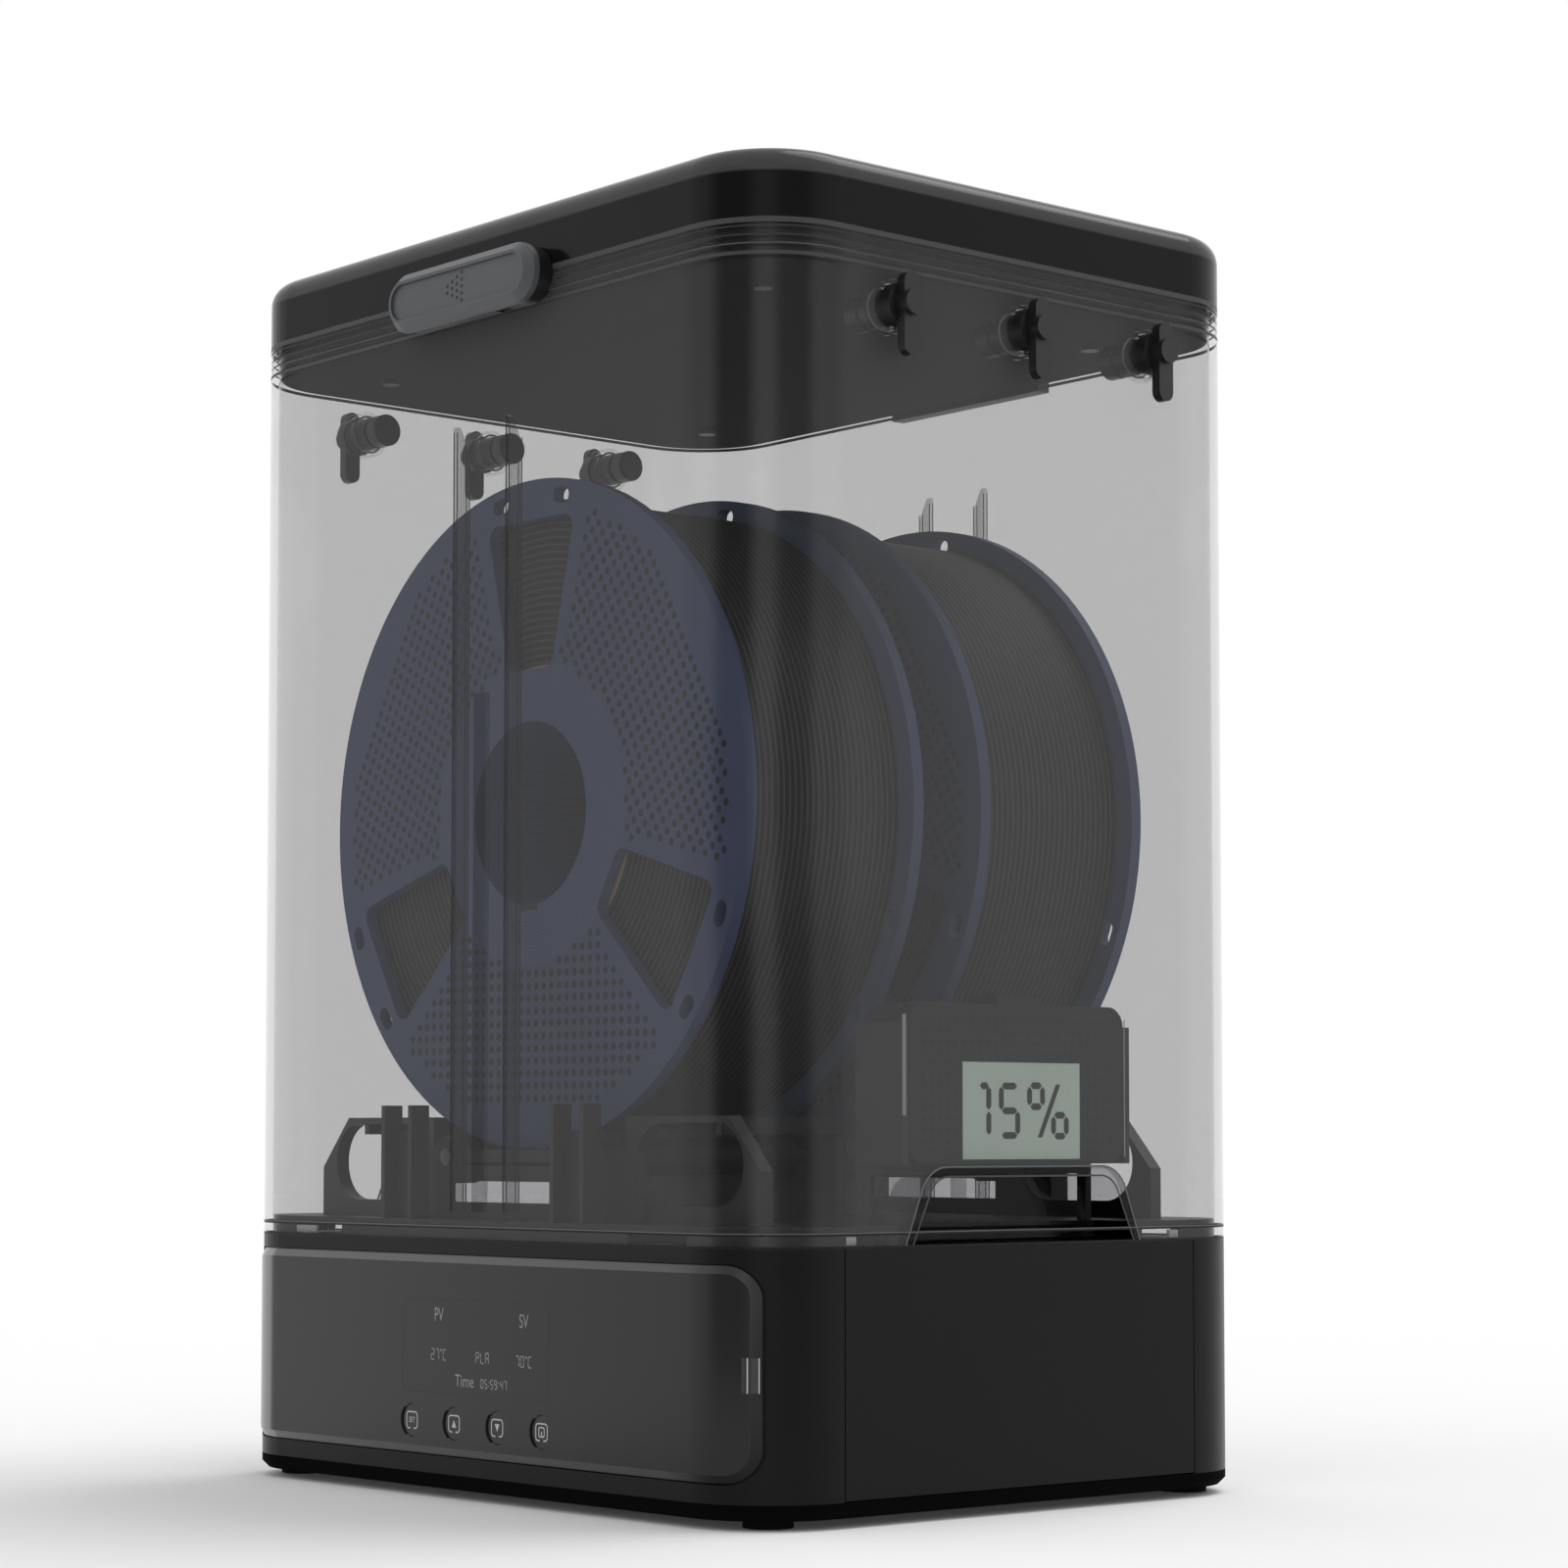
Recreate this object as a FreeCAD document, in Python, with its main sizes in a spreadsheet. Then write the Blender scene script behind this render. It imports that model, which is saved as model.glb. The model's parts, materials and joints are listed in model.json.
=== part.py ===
import FreeCAD, Part
import os
import re
import Sketcher
from math import radians
from FreeCAD import Placement, Rotation, Units, Vector

# Two-spool filament dryer box: a clear chamber with a hinged lid, standing on a heated base.
# Millimetres, origin on the floor under the middle of the case, +Z up, front towards -Y.

SIZES = {
    # Case outline shared by base, chamber and lid
    "case_width": 260.0,
    "case_depth": 200.0,
    "corner_radius": 29.0,
    # Plinth, feet and screws
    "foot_height": 2.5,
    "foot_radius": 7.0,
    "foot_recess": 0.8,
    "foot_gap": 0.2,
    "foot_inset_x": 17.0,
    "foot_inset_y": 18.0,
    "plinth_height": 4.5,
    "plinth_chamfer": 2.0,
    "intake_slot_length": 62.0,
    "intake_slot_width": 4.5,
    "intake_slot_pitch": 9.0,
    "screw_radius": 1.5,
    "screw_head_radius": 2.8,
    "screw_head_height": 1.6,
    "screw_length": 12.0,
    "screw_gap": 0.05,
    "boss_radius": 4.0,
    "boss_inset_x": 48.0,
    "boss_inset_y": 9.0,
    # Base shell and deck
    "base_height": 68.5,
    "base_wall": 3.2,
    "ledge_width": 12.0,
    "ledge_thickness": 3.0,
    "deck_thickness": 3.0,
    "deck_gap": 0.3,
    "deck_slot_length": 72.0,
    "deck_slot_width": 5.0,
    "deck_slot_pitch": 9.0,
    "dock_seal_inset": 22.0,
    "dock_seal_width": 4.0,
    "dock_seal_gap": 0.3,
    # Side panels
    "side_panel_width": 138.4,
    "side_panel_thickness": 1.8,
    "seam_gap": 0.35,
    # Front panel and controls
    "panel_rise": 5.5,
    "panel_height": 58.8,
    "panel_end_inset": 8.0,
    "panel_corner": 9.0,
    "panel_thickness": 2.4,
    "panel_proud": 0.6,
    "panel_gap": 0.3,
    "control_offset": 3.0,
    "display_width": 75.0,
    "display_height": 28.0,
    "display_rise": 37.5,
    "display_rim": 2.5,
    "display_thickness": 6.0,
    "button_rise": 15.0,
    "button_pitch": 21.2,
    "button_radius": 4.7,
    "button_gap": 0.3,
    "button_cap": 0.9,
    "button_recess": 0.6,
    "button_travel": 0.8,
    "stem_radius": 2.0,
    "stem_gap": 0.3,
    "switch_size": 6.0,
    "switch_gap": 0.1,
    "board_gap": 3.0,
    "board_height": 50.0,
    "board_thickness": 1.6,
    "board_post_radius": 3.0,
    "board_post_inset": 5.0,
    "indicator_angle": -51.5,
    "indicator_rise": 30.0,
    "indicator_height": 9.5,
    "indicator_width": 4.4,
    "indicator_gap": 0.1,
    # Mains inlet and power supply
    "inlet_spacing": 11.0,
    "inlet_rise": 22.0,
    "inlet_width": 24.0,
    "inlet_height": 15.0,
    "inlet_depth": 20.0,
    "inlet_corner": 3.0,
    "inlet_gap": 0.2,
    "inlet_flange": 3.0,
    "inlet_flange_thickness": 1.2,
    "socket_width": 17.0,
    "socket_height": 9.0,
    "socket_depth": 14.0,
    "contact_radius": 1.2,
    "contact_pitch": 8.6,
    "contact_length": 9.0,
    "supply_inset": 44.0,
    "supply_width": 54.0,
    "supply_length": 96.0,
    "supply_height": 30.0,
    "supply_board": 2.0,
    "supply_margin": 3.0,
    "terminal_depth": 9.0,
    "terminal_height": 13.0,
    # Fan, heater and duct stack
    "fan_lift": 13.0,
    "fan_post_radius": 3.5,
    "fan_post_inset": 4.3,
    "fan_size": 80.0,
    "fan_thickness": 25.0,
    "fan_bore_radius": 38.0,
    "fan_plate_radius": 15.0,
    "fan_plate_thickness": 3.0,
    "fan_strut_width": 4.0,
    "motor_radius": 10.5,
    "motor_height": 13.0,
    "shaft_radius": 2.0,
    "shaft_height": 4.0,
    "shaft_gap": 0.05,
    "rotor_radius": 15.0,
    "rotor_skirt_radius": 12.0,
    "rotor_lift": 1.0,
    "rotor_cap": 3.0,
    "rotor_height": 18.0,
    "blade_thickness": 1.6,
    "blade_chord": 17.0,
    "blade_pitch_angle": 38.0,
    "blade_tip_gap": 1.5,
    "heater_height": 12.0,
    "heater_wall": 4.0,
    "heater_gap": 0.2,
    "heater_bar_width": 6.0,
    "heater_fin": 0.8,
    "heater_fin_pitch": 5.0,
    "duct_wall": 2.0,
    "probe_radius": 2.0,
    "probe_inside": 16.0,
    "probe_outside": 6.0,
    "probe_gap": 0.05,
    # Clear chamber
    "chamber_height": 283.0,
    "chamber_wall": 2.5,
    "groove_depth": 0.5,
    "groove_height": 0.6,
    "groove_drop": 2.7,
    "groove_pitch": 2.4,
    "fin_offset": 13.0,
    "fin_thickness": 1.6,
    "fin_share": 0.37,
    "fin_low": 8.5,
    "fin_top": 242.5,
    "fin_tip": 8.0,
    "strip_width": 6.0,
    "strip_share": 0.11,
    "strip_top": 161.5,
    "scoop_low_width": 88.0,
    "scoop_high_width": 71.0,
    "scoop_height": 19.7,
    "scoop_depth": 16.0,
    "scoop_wall": 2.3,
    "scoop_corner": 8.0,
    "scoop_gap": 0.1,
    # Filament outlets
    "outlet_drop": 21.0,
    "outlet_pitch": 51.0,
    "bush_bore": 5.5,
    "bush_wall": 1.0,
    "bush_gap": 0.15,
    "bush_flange_radius": 7.6,
    "bush_flange": 1.2,
    "plug_gap": 0.3,
    "plug_stem_radius": 4.3,
    "plug_nub_radius": 5.2,
    "plug_nub_length": 5.6,
    "plug_tip_radius": 4.4,
    "plug_tip": 0.8,
    "plug_waist": 1.2,
    "plug_reach": 13.0,
    "plug_disc_radius": 6.2,
    "plug_disc": 3.8,
    "plug_bar": 3.0,
    "plug_bar_width": 5.8,
    "plug_bar_up": 8.7,
    "plug_bar_down": 14.8,
    "plug_boss_radius": 3.6,
    "plug_boss": 1.5,
    # Cradle with its rollers
    "cradle_gap": 0.4,
    "cradle_rise": 4.0,
    "cradle_floor": 2.0,
    "cradle_skirt": 2.0,
    "skirt_gap": 0.5,
    "front_window_near": 70.0,
    "front_window_width": 26.0,
    "side_window_near": 50.0,
    "side_window_width": 16.0,
    "cradle_slot_width": 5.0,
    "cradle_slot_pitch": 9.0,
    "cradle_slot_length": 52.0,
    "cradle_wall_offset": 81.5,
    "cradle_wall": 2.5,
    "cradle_wall_length": 116.0,
    "cradle_wall_top": 26.8,
    "cradle_window_low": 11.0,
    "near_window_width": 66.0,
    "near_window_height": 6.3,
    "near_slit_rise": 10.9,
    "near_slit_height": 1.1,
    "wing_offset": 75.0,
    "wing_thickness": 4.5,
    "wing_start": 47.0,
    "wing_end": 107.0,
    "wing_top": 36.5,
    "wing_slope": 14.0,
    "wing_end_top": 21.0,
    "wing_window_start": 52.0,
    "wing_window_end": 99.5,
    "wing_window_corner": 11.5,
    "wing_rail": 2.0,
    "side_rail_offset": 85.0,
    "side_rail_width": 2.5,
    "side_rail_low": 31.3,
    "side_rail_high": 36.2,
    "divider_thickness": 3.0,
    "divider_length": 100.0,
    "post_offset": 42.0,
    "post_width": 15.7,
    "post_depth": 6.5,
    "post_top": 40.0,
    "post_rib": 1.8,
    "post_web": 1.6,
    "post_web_top": 32.5,
    "roller_offset": 35.0,
    "roller_radius": 8.0,
    "roller_core": 5.5,
    "roller_gap": 0.3,
    "roller_overhang": 1.5,
    "tyre_width": 7.0,
    "roller_pin_radius": 2.5,
    "roller_pin_gap": 0.05,
    "pin_boss_radius": 6.0,
    "pin_seat_gap": 0.02,
    # Spools of filament
    "spool_axis_height": 127.0,
    "spool_radius": 100.0,
    "spool_width": 67.5,
    "spool_spacing": 23.0,
    "flange_thickness": 4.0,
    "bore_radius": 27.5,
    "bore_wall": 2.0,
    "core_radius": 39.5,
    "core_wall": 2.0,
    "winding_gap": 0.2,
    "winding_radius": 94.0,
    "window_low": 43.0,
    "window_high": 88.0,
    "window_low_width": 21.0,
    "window_high_width": 43.0,
    "window_corner": 4.0,
    "rim_hole_radius": 95.0,
    "rim_hole_angle": 9.0,
    "rim_hole_length": 7.6,
    "rim_hole_width": 4.6,
    "rim_hole_corner": 2.2,
    # Hygrometer
    "meter_rise": 22.8,
    "meter_width": 85.0,
    "meter_height": 45.5,
    "meter_depth": 17.0,
    "meter_corner": 6.0,
    "meter_gap": 0.3,
    "meter_tab_width": 17.0,
    "meter_tab_height": 2.4,
    "meter_tab_depth": 12.0,
    "screen_width": 46.6,
    "screen_height": 27.5,
    "screen_low": 1.4,
    "screen_offset": 1.2,
    "screen_thickness": 1.2,
    "screen_gap": 0.1,
    "rail_thickness": 2.4,
    "rail_top": 62.5,
    "shelf_thickness": 3.0,
    # Lid
    "lid_height": 20.3,
    "lid_wall": 3.0,
    "lid_edge": 7.0,
    "liner_drop": 10.0,
    "liner_gap": 0.8,
    "liner_thickness": 1.6,
    "liner_skirt": 2.0,
    "liner_skirt_inset": 5.0,
    "seal_gap": 0.1,
    "seal_clear": 0.3,
    "seal_root": 1.3,
    "seal_top_gap": 1.1,
    "seal_lip": 0.9,
    "lid_boss_radius": 4.0,
    "lid_screw_offset_x": 92.0,
    "lid_screw_offset_y": 66.0,
    # Hinge at the rear of the lid
    "hinge_standoff": 5.0,
    "hinge_radius": 4.5,
    "hinge_pin_radius": 2.0,
    "hinge_gap": 0.05,
    "hinge_length": 70.0,
    "leaf_length": 28.0,
    "leaf_gap": 0.5,
    "leaf_rise": 8.0,
    "leaf_depth": 6.0,
    "bracket_drop": 11.0,
    # Slide latch at the front of the lid
    "latch_offset": 2.7,
    "latch_drop": 2.3,
    "latch_width": 72.0,
    "latch_height": 17.6,
    "latch_corner": 8.7,
    "latch_projection": 9.5,
    "latch_thickness": 4.3,
    "latch_bevel": 2.4,
    "latch_dish_inset": 3.4,
    "latch_dish_depth": 0.8,
    "latch_gap": 0.3,
    "latch_travel": 7.0,
    "track_inset": 0.5,
    "track_front": 1.8,
    "seat_length": 40.0,
    "stem_length": 20.0,
    "stem_height": 4.0,
    "head_length": 24.0,
    "head_height": 9.0,
    "toe_length": 7.5,
    "toe_height": 2.0,
    "keeper_length": 5.5,
    "keeper_height": 2.0,
}

# Heights and faces that the pieces share, as expressions of the named sizes
BASE_BOTTOM = "(foot_height + plinth_height)"
BASE_TOP = "(foot_height + plinth_height + base_height)"
DECK_BOTTOM = f"({BASE_TOP} - deck_thickness)"
RIM = f"({BASE_TOP} + chamber_height)"
LID_TOP = f"({RIM} + lid_height)"
SIDE = "(case_width / 2)"
FRONT = "(case_depth / 2)"
INNER_SIDE = "(case_width / 2 - chamber_wall)"
INNER_FRONT = "(case_depth / 2 - chamber_wall)"
FAN_BOTTOM = f"({BASE_BOTTOM} + fan_lift)"
FAN_TOP = f"({FAN_BOTTOM} + fan_thickness)"
HEATER_TOP = f"({FAN_TOP} + heater_height)"
CRADLE_BOTTOM = f"({BASE_TOP} + cradle_rise)"
CRADLE_TOP = f"({CRADLE_BOTTOM} + cradle_floor)"
SPOOL_Z = f"({BASE_TOP} + spool_axis_height)"
SPOOL_Y = "(spool_spacing / 2 + spool_width / 2)"
ROLLER_REACH = "(spool_radius + roller_radius + roller_gap)"
ROLLER_Z = f"({SPOOL_Z} - sqrt({ROLLER_REACH} * {ROLLER_REACH} - roller_offset * roller_offset))"
OUTLET_Z = f"({RIM} - outlet_drop)"
HINGE_Y = f"({FRONT} + hinge_standoff)"
LATCH_Z = f"({RIM} - latch_drop)"
BUTTON_Z = f"({BASE_BOTTOM} + button_rise)"
DISPLAY_Z = f"({BASE_BOTTOM} + display_rise)"
INLET_Z = f"({BASE_BOTTOM} + inlet_rise)"
METER_BOTTOM = f"({BASE_TOP} + meter_rise)"
METER_BACK = f"({INNER_SIDE} - meter_gap - meter_depth)"
LINER_BOTTOM = f"({RIM} - liner_drop)"
LINER_TOP = f"({LINER_BOTTOM} + liner_thickness)"
CUP_BACK = f"({SIDE} - scoop_depth - scoop_wall - cradle_gap)"
BOARD_Y = f"({FRONT} - base_wall - display_thickness)"
BOSS_EDGE = f"({SIDE} - boss_inset_x - boss_radius)"
BOARD_HALF = f"({BOSS_EDGE} - board_gap)"
INLET_X = f"({BOSS_EDGE} - inlet_spacing - inlet_width / 2)"
SUPPLY_X = f"({SIDE} - supply_inset)"
CRADLE_FRONT = "(cradle_wall_offset + cradle_wall)"
FIN_DEPTH = f"(({INNER_FRONT} - {CRADLE_FRONT}) * fin_share)"
STRIP_DEPTH = f"(({INNER_FRONT} - {CRADLE_FRONT}) * strip_share)"

SIGNS = (-1, 1)
AXIS_TURNS = {
    "x": Rotation(Vector(0, 1, 0), 90),
    "y": Rotation(Vector(1, 0, 0), -90),
    "z": Rotation(),
}
PLANE_TURNS = {
    "xy": Rotation(),
    "xz": Rotation(Vector(1, 0, 0), 90),
    "yz": Rotation(Vector(1, 1, 1), 120),
}
WORD = re.compile(r"[a-z_][a-z_0-9]*")

doc = FreeCAD.newDocument("filament_dryer_box")
sheet = doc.addObject("Spreadsheet::Sheet", "Sizes")
nodes = []


def fill_sheet():
    """Write every driving size to the sheet, with its name as the alias."""
    for row, (alias, size) in enumerate(SIZES.items(), start=1):
        sheet.set(f"A{row}", alias)
        sheet.set(f"B{row}", str(size))
        sheet.setAlias(f"B{row}", alias)
    doc.recompute()


def cells(expression):
    """Expression with every size name pointing at its cell of the sheet."""
    return WORD.sub(lambda word: f"Sizes.{word[0]}" if word[0] in SIZES else word[0], str(expression))


def value(expression):
    """Number that an expression of size names works out to, to start a sketch with."""
    numbers = WORD.sub(lambda word: repr(SIZES[word[0]]) if word[0] in SIZES else word[0], str(expression))
    return Units.Quantity(numbers).Value


def mirrored(sign, low, high):
    """Limits of a piece on the plus side, or of its mirror image on the minus side."""
    if sign > 0:
        return (low, high)
    return (f"-({high})", f"-({low})")


def box(x, y, z):
    """Block between two limits along each axis."""
    block = doc.addObject("Part::Box", "block")
    for side, axis, (low, high) in (("Length", "x", x), ("Width", "y", y), ("Height", "z", z)):
        block.setExpression(side, cells(f"({high}) - ({low})"))
        block.setExpression(f"Placement.Base.{axis}", cells(low))
    return block


def put(item, turn, x, y, z):
    """Turn a piece and bind its place to expressions."""
    item.Placement = Placement(Vector(), turn)
    for axis, place in (("x", x), ("y", y), ("z", z)):
        item.setExpression(f"Placement.Base.{axis}", cells(place))
    return item


def around(middle, half):
    """Limits on both sides of a middle."""
    return (f"({middle}) - ({half})", f"({middle}) + ({half})")


def rod(axis, radius, across, along):
    """Round bar along an axis: its radius, its centre in the other two axes and its two ends."""
    bar = doc.addObject("Part::Cylinder", "rod")
    bar.setExpression("Radius", cells(radius))
    bar.setExpression("Height", cells(f"({along[1]}) - ({along[0]})"))
    centre = list(across)
    centre.insert("xyz".index(axis), along[0])
    return put(bar, AXIS_TURNS[axis], *centre)


def tube(axis, outer, inner, across, along):
    """Round bar with a bore through it."""
    return cut(rod(axis, outer, across, along), rod(axis, inner, across, along))


def fuse(*items):
    """One solid from pieces that touch or overlap."""
    joined = doc.addObject("Part::MultiFuse", "joined")
    joined.Shapes = list(items)
    return joined


def group(*items):
    """Several separate solids kept together."""
    bundle = doc.addObject("Part::Compound", "bundle")
    bundle.Links = list(items)
    return bundle


def cut(base, *tools):
    """A piece with other shapes taken out of it."""
    result = doc.addObject("Part::Cut", "cut")
    result.Base = base
    result.Tool = tools[0] if len(tools) == 1 else fuse(*tools)
    return result


def common(first, second):
    """What two shapes share."""
    shared = doc.addObject("Part::MultiCommon", "shared")
    shared.Shapes = [first, second]
    return shared


def node(label, item):
    """Name a finished sub-part and list it for writing."""
    item.Label = label
    nodes.append(item)
    return item


def new_sketch(body):
    """Empty sketch on the body's own XY plane."""
    plane = next(item for item in body.Origin.OriginFeatures if item.Role == "XY_Plane")
    sketch = body.newObject("Sketcher::SketchObject", "outline")
    sketch.AttachmentSupport = [(plane, "")]
    sketch.MapMode = "FlatFace"
    return sketch


def bound(sketch, constraint, expression):
    """Add a dimension to a sketch and bind it to an expression."""
    index = sketch.addConstraint(constraint)
    sketch.setExpression(f"Constraints[{index}]", cells(expression))


def rounded_outline(sketch, width, depth, radius):
    """Rectangle with round corners, centred on the sketch's origin."""
    reach_x = f"({width}) - 2 * ({radius})"
    reach_y = f"({depth}) - 2 * ({radius})"
    half_x = value(reach_x) / 2
    half_y = value(reach_y) / 2
    round_size = value(radius)
    corners = ((1, 1), (-1, 1), (-1, -1), (1, -1))
    arcs = []
    for quarter, (right, up) in enumerate(corners):
        circle = Part.Circle(Vector(right * half_x, up * half_y, 0), Vector(0, 0, 1), round_size)
        arc = Part.ArcOfCircle(circle, radians(90 * quarter), radians(90 * quarter + 90))
        arcs.append(sketch.addGeometry(arc))
    for quarter, first in enumerate(arcs):
        second = arcs[(quarter + 1) % len(arcs)]
        ends = sketch.getPoint(first, 2), sketch.getPoint(second, 1)
        line = sketch.addGeometry(Part.LineSegment(*ends))
        sketch.addConstraint(Sketcher.Constraint("Tangent", first, 2, line, 1))
        sketch.addConstraint(Sketcher.Constraint("Tangent", line, 2, second, 1))
        sketch.addConstraint(Sketcher.Constraint("Vertical" if quarter % 2 else "Horizontal", line))
    for other in arcs[1:]:
        sketch.addConstraint(Sketcher.Constraint("Equal", arcs[0], other))
    sketch.addConstraint(Sketcher.Constraint("Symmetric", arcs[0], 3, arcs[2], 3, -1, 1))
    bound(sketch, Sketcher.Constraint("DistanceX", arcs[1], 3, arcs[0], 3, 2 * half_x), reach_x)
    bound(sketch, Sketcher.Constraint("DistanceY", arcs[3], 3, arcs[0], 3, 2 * half_y), reach_y)
    bound(sketch, Sketcher.Constraint("Radius", arcs[0], round_size), radius)


def polygon_outline(sketch, points):
    """Closed outline through corner points, each bound to its own pair of expressions."""
    places = [Vector(value(x), value(y), 0) for x, y in points]
    lines = []
    for index, place in enumerate(places):
        following = places[(index + 1) % len(places)]
        lines.append(sketch.addGeometry(Part.LineSegment(place, following)))
    for index, line in enumerate(lines):
        following = lines[(index + 1) % len(lines)]
        sketch.addConstraint(Sketcher.Constraint("Coincident", line, 2, following, 1))
        x, y = points[index]
        bound(sketch, Sketcher.Constraint("DistanceX", line, 1, places[index].x), x)
        bound(sketch, Sketcher.Constraint("DistanceY", line, 1, places[index].y), y)


def extruded(draw, arguments, plane, along, centre=("0", "0"), turn=Rotation()):
    """Body padded from a drawn outline across a plane, between two limits along the third axis."""
    body = doc.addObject("PartDesign::Body", "body")
    sketch = new_sketch(body)
    draw(sketch, *arguments)
    pad = body.newObject("PartDesign::Pad", "pad")
    pad.Profile = sketch
    pad.setExpression("Length", cells(f"({along[1]}) - ({along[0]})"))
    sketch.Visibility = False
    low, high = along
    places = {
        "xy": (centre[0], centre[1], low),
        "xz": (centre[0], high, centre[1]),
        "yz": (low, centre[0], centre[1]),
    }
    return put(body, turn * PLANE_TURNS[plane], *places[plane])


def slab(width, depth, radius, plane, along, centre=("0", "0"), turn=Rotation()):
    """Rounded-corner block."""
    return extruded(rounded_outline, (width, depth, radius), plane, along, centre, turn)


def prism(points, plane, along, centre=("0", "0"), turn=Rotation()):
    """Block with a straight-sided outline."""
    return extruded(polygon_outline, (points,), plane, along, centre, turn)


def case_slab(inset, low, high):
    """Block with the case outline, moved in by an inset on every side."""
    return slab(f"case_width - 2 * ({inset})", f"case_depth - 2 * ({inset})",
                f"corner_radius - ({inset})", "xy", (low, high))


def case_ring(outer_inset, inner_inset, low, high):
    """Ring that follows the case outline."""
    return cut(case_slab(outer_inset, low, high), case_slab(inner_inset, low, high))


def edges_at(body, level):
    """Names of the edges of a body's last feature that lie flat at one local height."""
    doc.recompute()
    names = []
    for index, edge in enumerate(body.Tip.Shape.Edges, start=1):
        bounds = edge.BoundBox
        if abs(bounds.ZMin - level) < 1e-6 and abs(bounds.ZMax - level) < 1e-6:
            names.append(f"Edge{index}")
    return names


def edges_along(body, low_y=None):
    """Names of the straight edges that run along the pad, optionally only those above a local y."""
    doc.recompute()
    names = []
    for index, edge in enumerate(body.Tip.Shape.Edges, start=1):
        bounds = edge.BoundBox
        runs_along = bounds.XLength < 1e-6 and bounds.YLength < 1e-6
        if runs_along and (low_y is None or bounds.YMin > low_y):
            names.append(f"Edge{index}")
    return names


def soften(body, kind, names, expression):
    """Fillet or chamfer named edges of a body's last feature."""
    before = body.Tip
    feature = body.newObject(f"PartDesign::{kind}", kind.lower())
    feature.Base = (before, names)
    feature.setExpression("Radius" if kind == "Fillet" else "Size", cells(expression))
    body.Tip = feature
    return body


def corner_points(inset_x, inset_y):
    """Four points, one by each corner of the case."""
    for right in SIGNS:
        for back in SIGNS:
            yield f"{right} * ({SIDE} - {inset_x})", f"{back} * ({FRONT} - {inset_y})"


def slots(count, length, width, pitch, low, high):
    """Row of straight slots through a plate, side by side about the middle of the case."""
    for index in range(count):
        middle = f"{index - (count - 1) / 2} * {pitch}"
        yield box(around("0", f"{length} / 2"), around(middle, f"{width} / 2"), (low, high))


def screw(x, y, head_low, tip):
    """Pan-head screw standing head down on one spot."""
    neck = f"{head_low} + screw_head_height"
    return fuse(rod("z", "screw_head_radius", (x, y), (head_low, neck)),
                rod("z", "screw_radius", (x, y), (neck, tip)))


def make_plinth():
    """Bottom tray with feet recesses, air intake, screw holes and fan posts."""
    plate = case_slab("0", "foot_height", BASE_BOTTOM)
    soften(plate, "Chamfer", edges_at(plate, 0.0), "plinth_chamfer")
    fan_points = [(f"{right} * (fan_size / 2 - fan_post_inset)", f"{back} * (fan_size / 2 - fan_post_inset)")
                  for right in SIGNS for back in SIGNS]
    posts = [rod("z", "fan_post_radius", point, (BASE_BOTTOM, FAN_BOTTOM)) for point in fan_points]
    tools = []
    feet = []
    for point in corner_points("foot_inset_x", "foot_inset_y"):
        top = "foot_height + foot_recess"
        tools.append(rod("z", "foot_radius + foot_gap", point, ("0", top)))
        feet.append(rod("z", "foot_radius", point, ("0", top)))
    screws = []
    for x, y in corner_points("boss_inset_x", "boss_inset_y"):
        neck = "foot_height + screw_head_height"
        tools.append(rod("z", "screw_head_radius + 2 * screw_gap", (x, y), ("0", neck)))
        tools.append(rod("z", "screw_radius + screw_gap", (x, y), ("0", BASE_BOTTOM)))
        screws.append(screw(x, y, "foot_height", f"{neck} + screw_length"))
    tools += slots(7, "intake_slot_length", "intake_slot_width", "intake_slot_pitch", "0", BASE_BOTTOM)
    node("base_plinth", cut(fuse(plate, *posts), *tools))
    node("feet", group(*feet))
    node("base_screws", group(*screws))


def panel_profile(grow):
    """Front outline of the control panel, grown by a gap, as a block through the front wall."""
    middle = f"{BASE_BOTTOM} + panel_rise + panel_height / 2"
    along = (f"-{FRONT} - panel_thickness", f"-({FRONT} - corner_radius)")
    return slab(f"case_width - 2 * panel_end_inset + 2 * ({grow})", f"panel_height + 2 * ({grow})",
                f"panel_corner + ({grow})", "xz", along, ("0", middle))


def button_places():
    """Centres of the four buttons along the front."""
    for index in range(4):
        yield f"control_offset + {index - 1.5} * button_pitch"


def indicator_bar(grow):
    """Upright light bar set across the right front corner, grown by a gap."""
    bar = doc.addObject("Part::Box", "bar")
    bar.setExpression("Length", cells(f"panel_thickness + 2 * ({grow})"))
    bar.setExpression("Width", cells(f"indicator_width + 2 * ({grow})"))
    bar.setExpression("Height", cells(f"indicator_height + 2 * ({grow})"))
    start = f"(corner_radius + panel_proud - panel_thickness - ({grow}))"
    half = f"(indicator_width / 2 + ({grow}))"
    bar.Placement = Placement(Vector(), Rotation(Vector(0, 0, 1), SIZES["indicator_angle"]))
    bar.setExpression("Placement.Base.x", cells(
        f"{SIDE} - corner_radius + {start} * cos(indicator_angle) + {half} * sin(indicator_angle)"))
    bar.setExpression("Placement.Base.y", cells(
        f"-({FRONT} - corner_radius) + {start} * sin(indicator_angle) - {half} * cos(indicator_angle)"))
    bar.setExpression("Placement.Base.z", cells(f"{BASE_BOTTOM} + indicator_rise - ({grow})"))
    return bar


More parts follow.
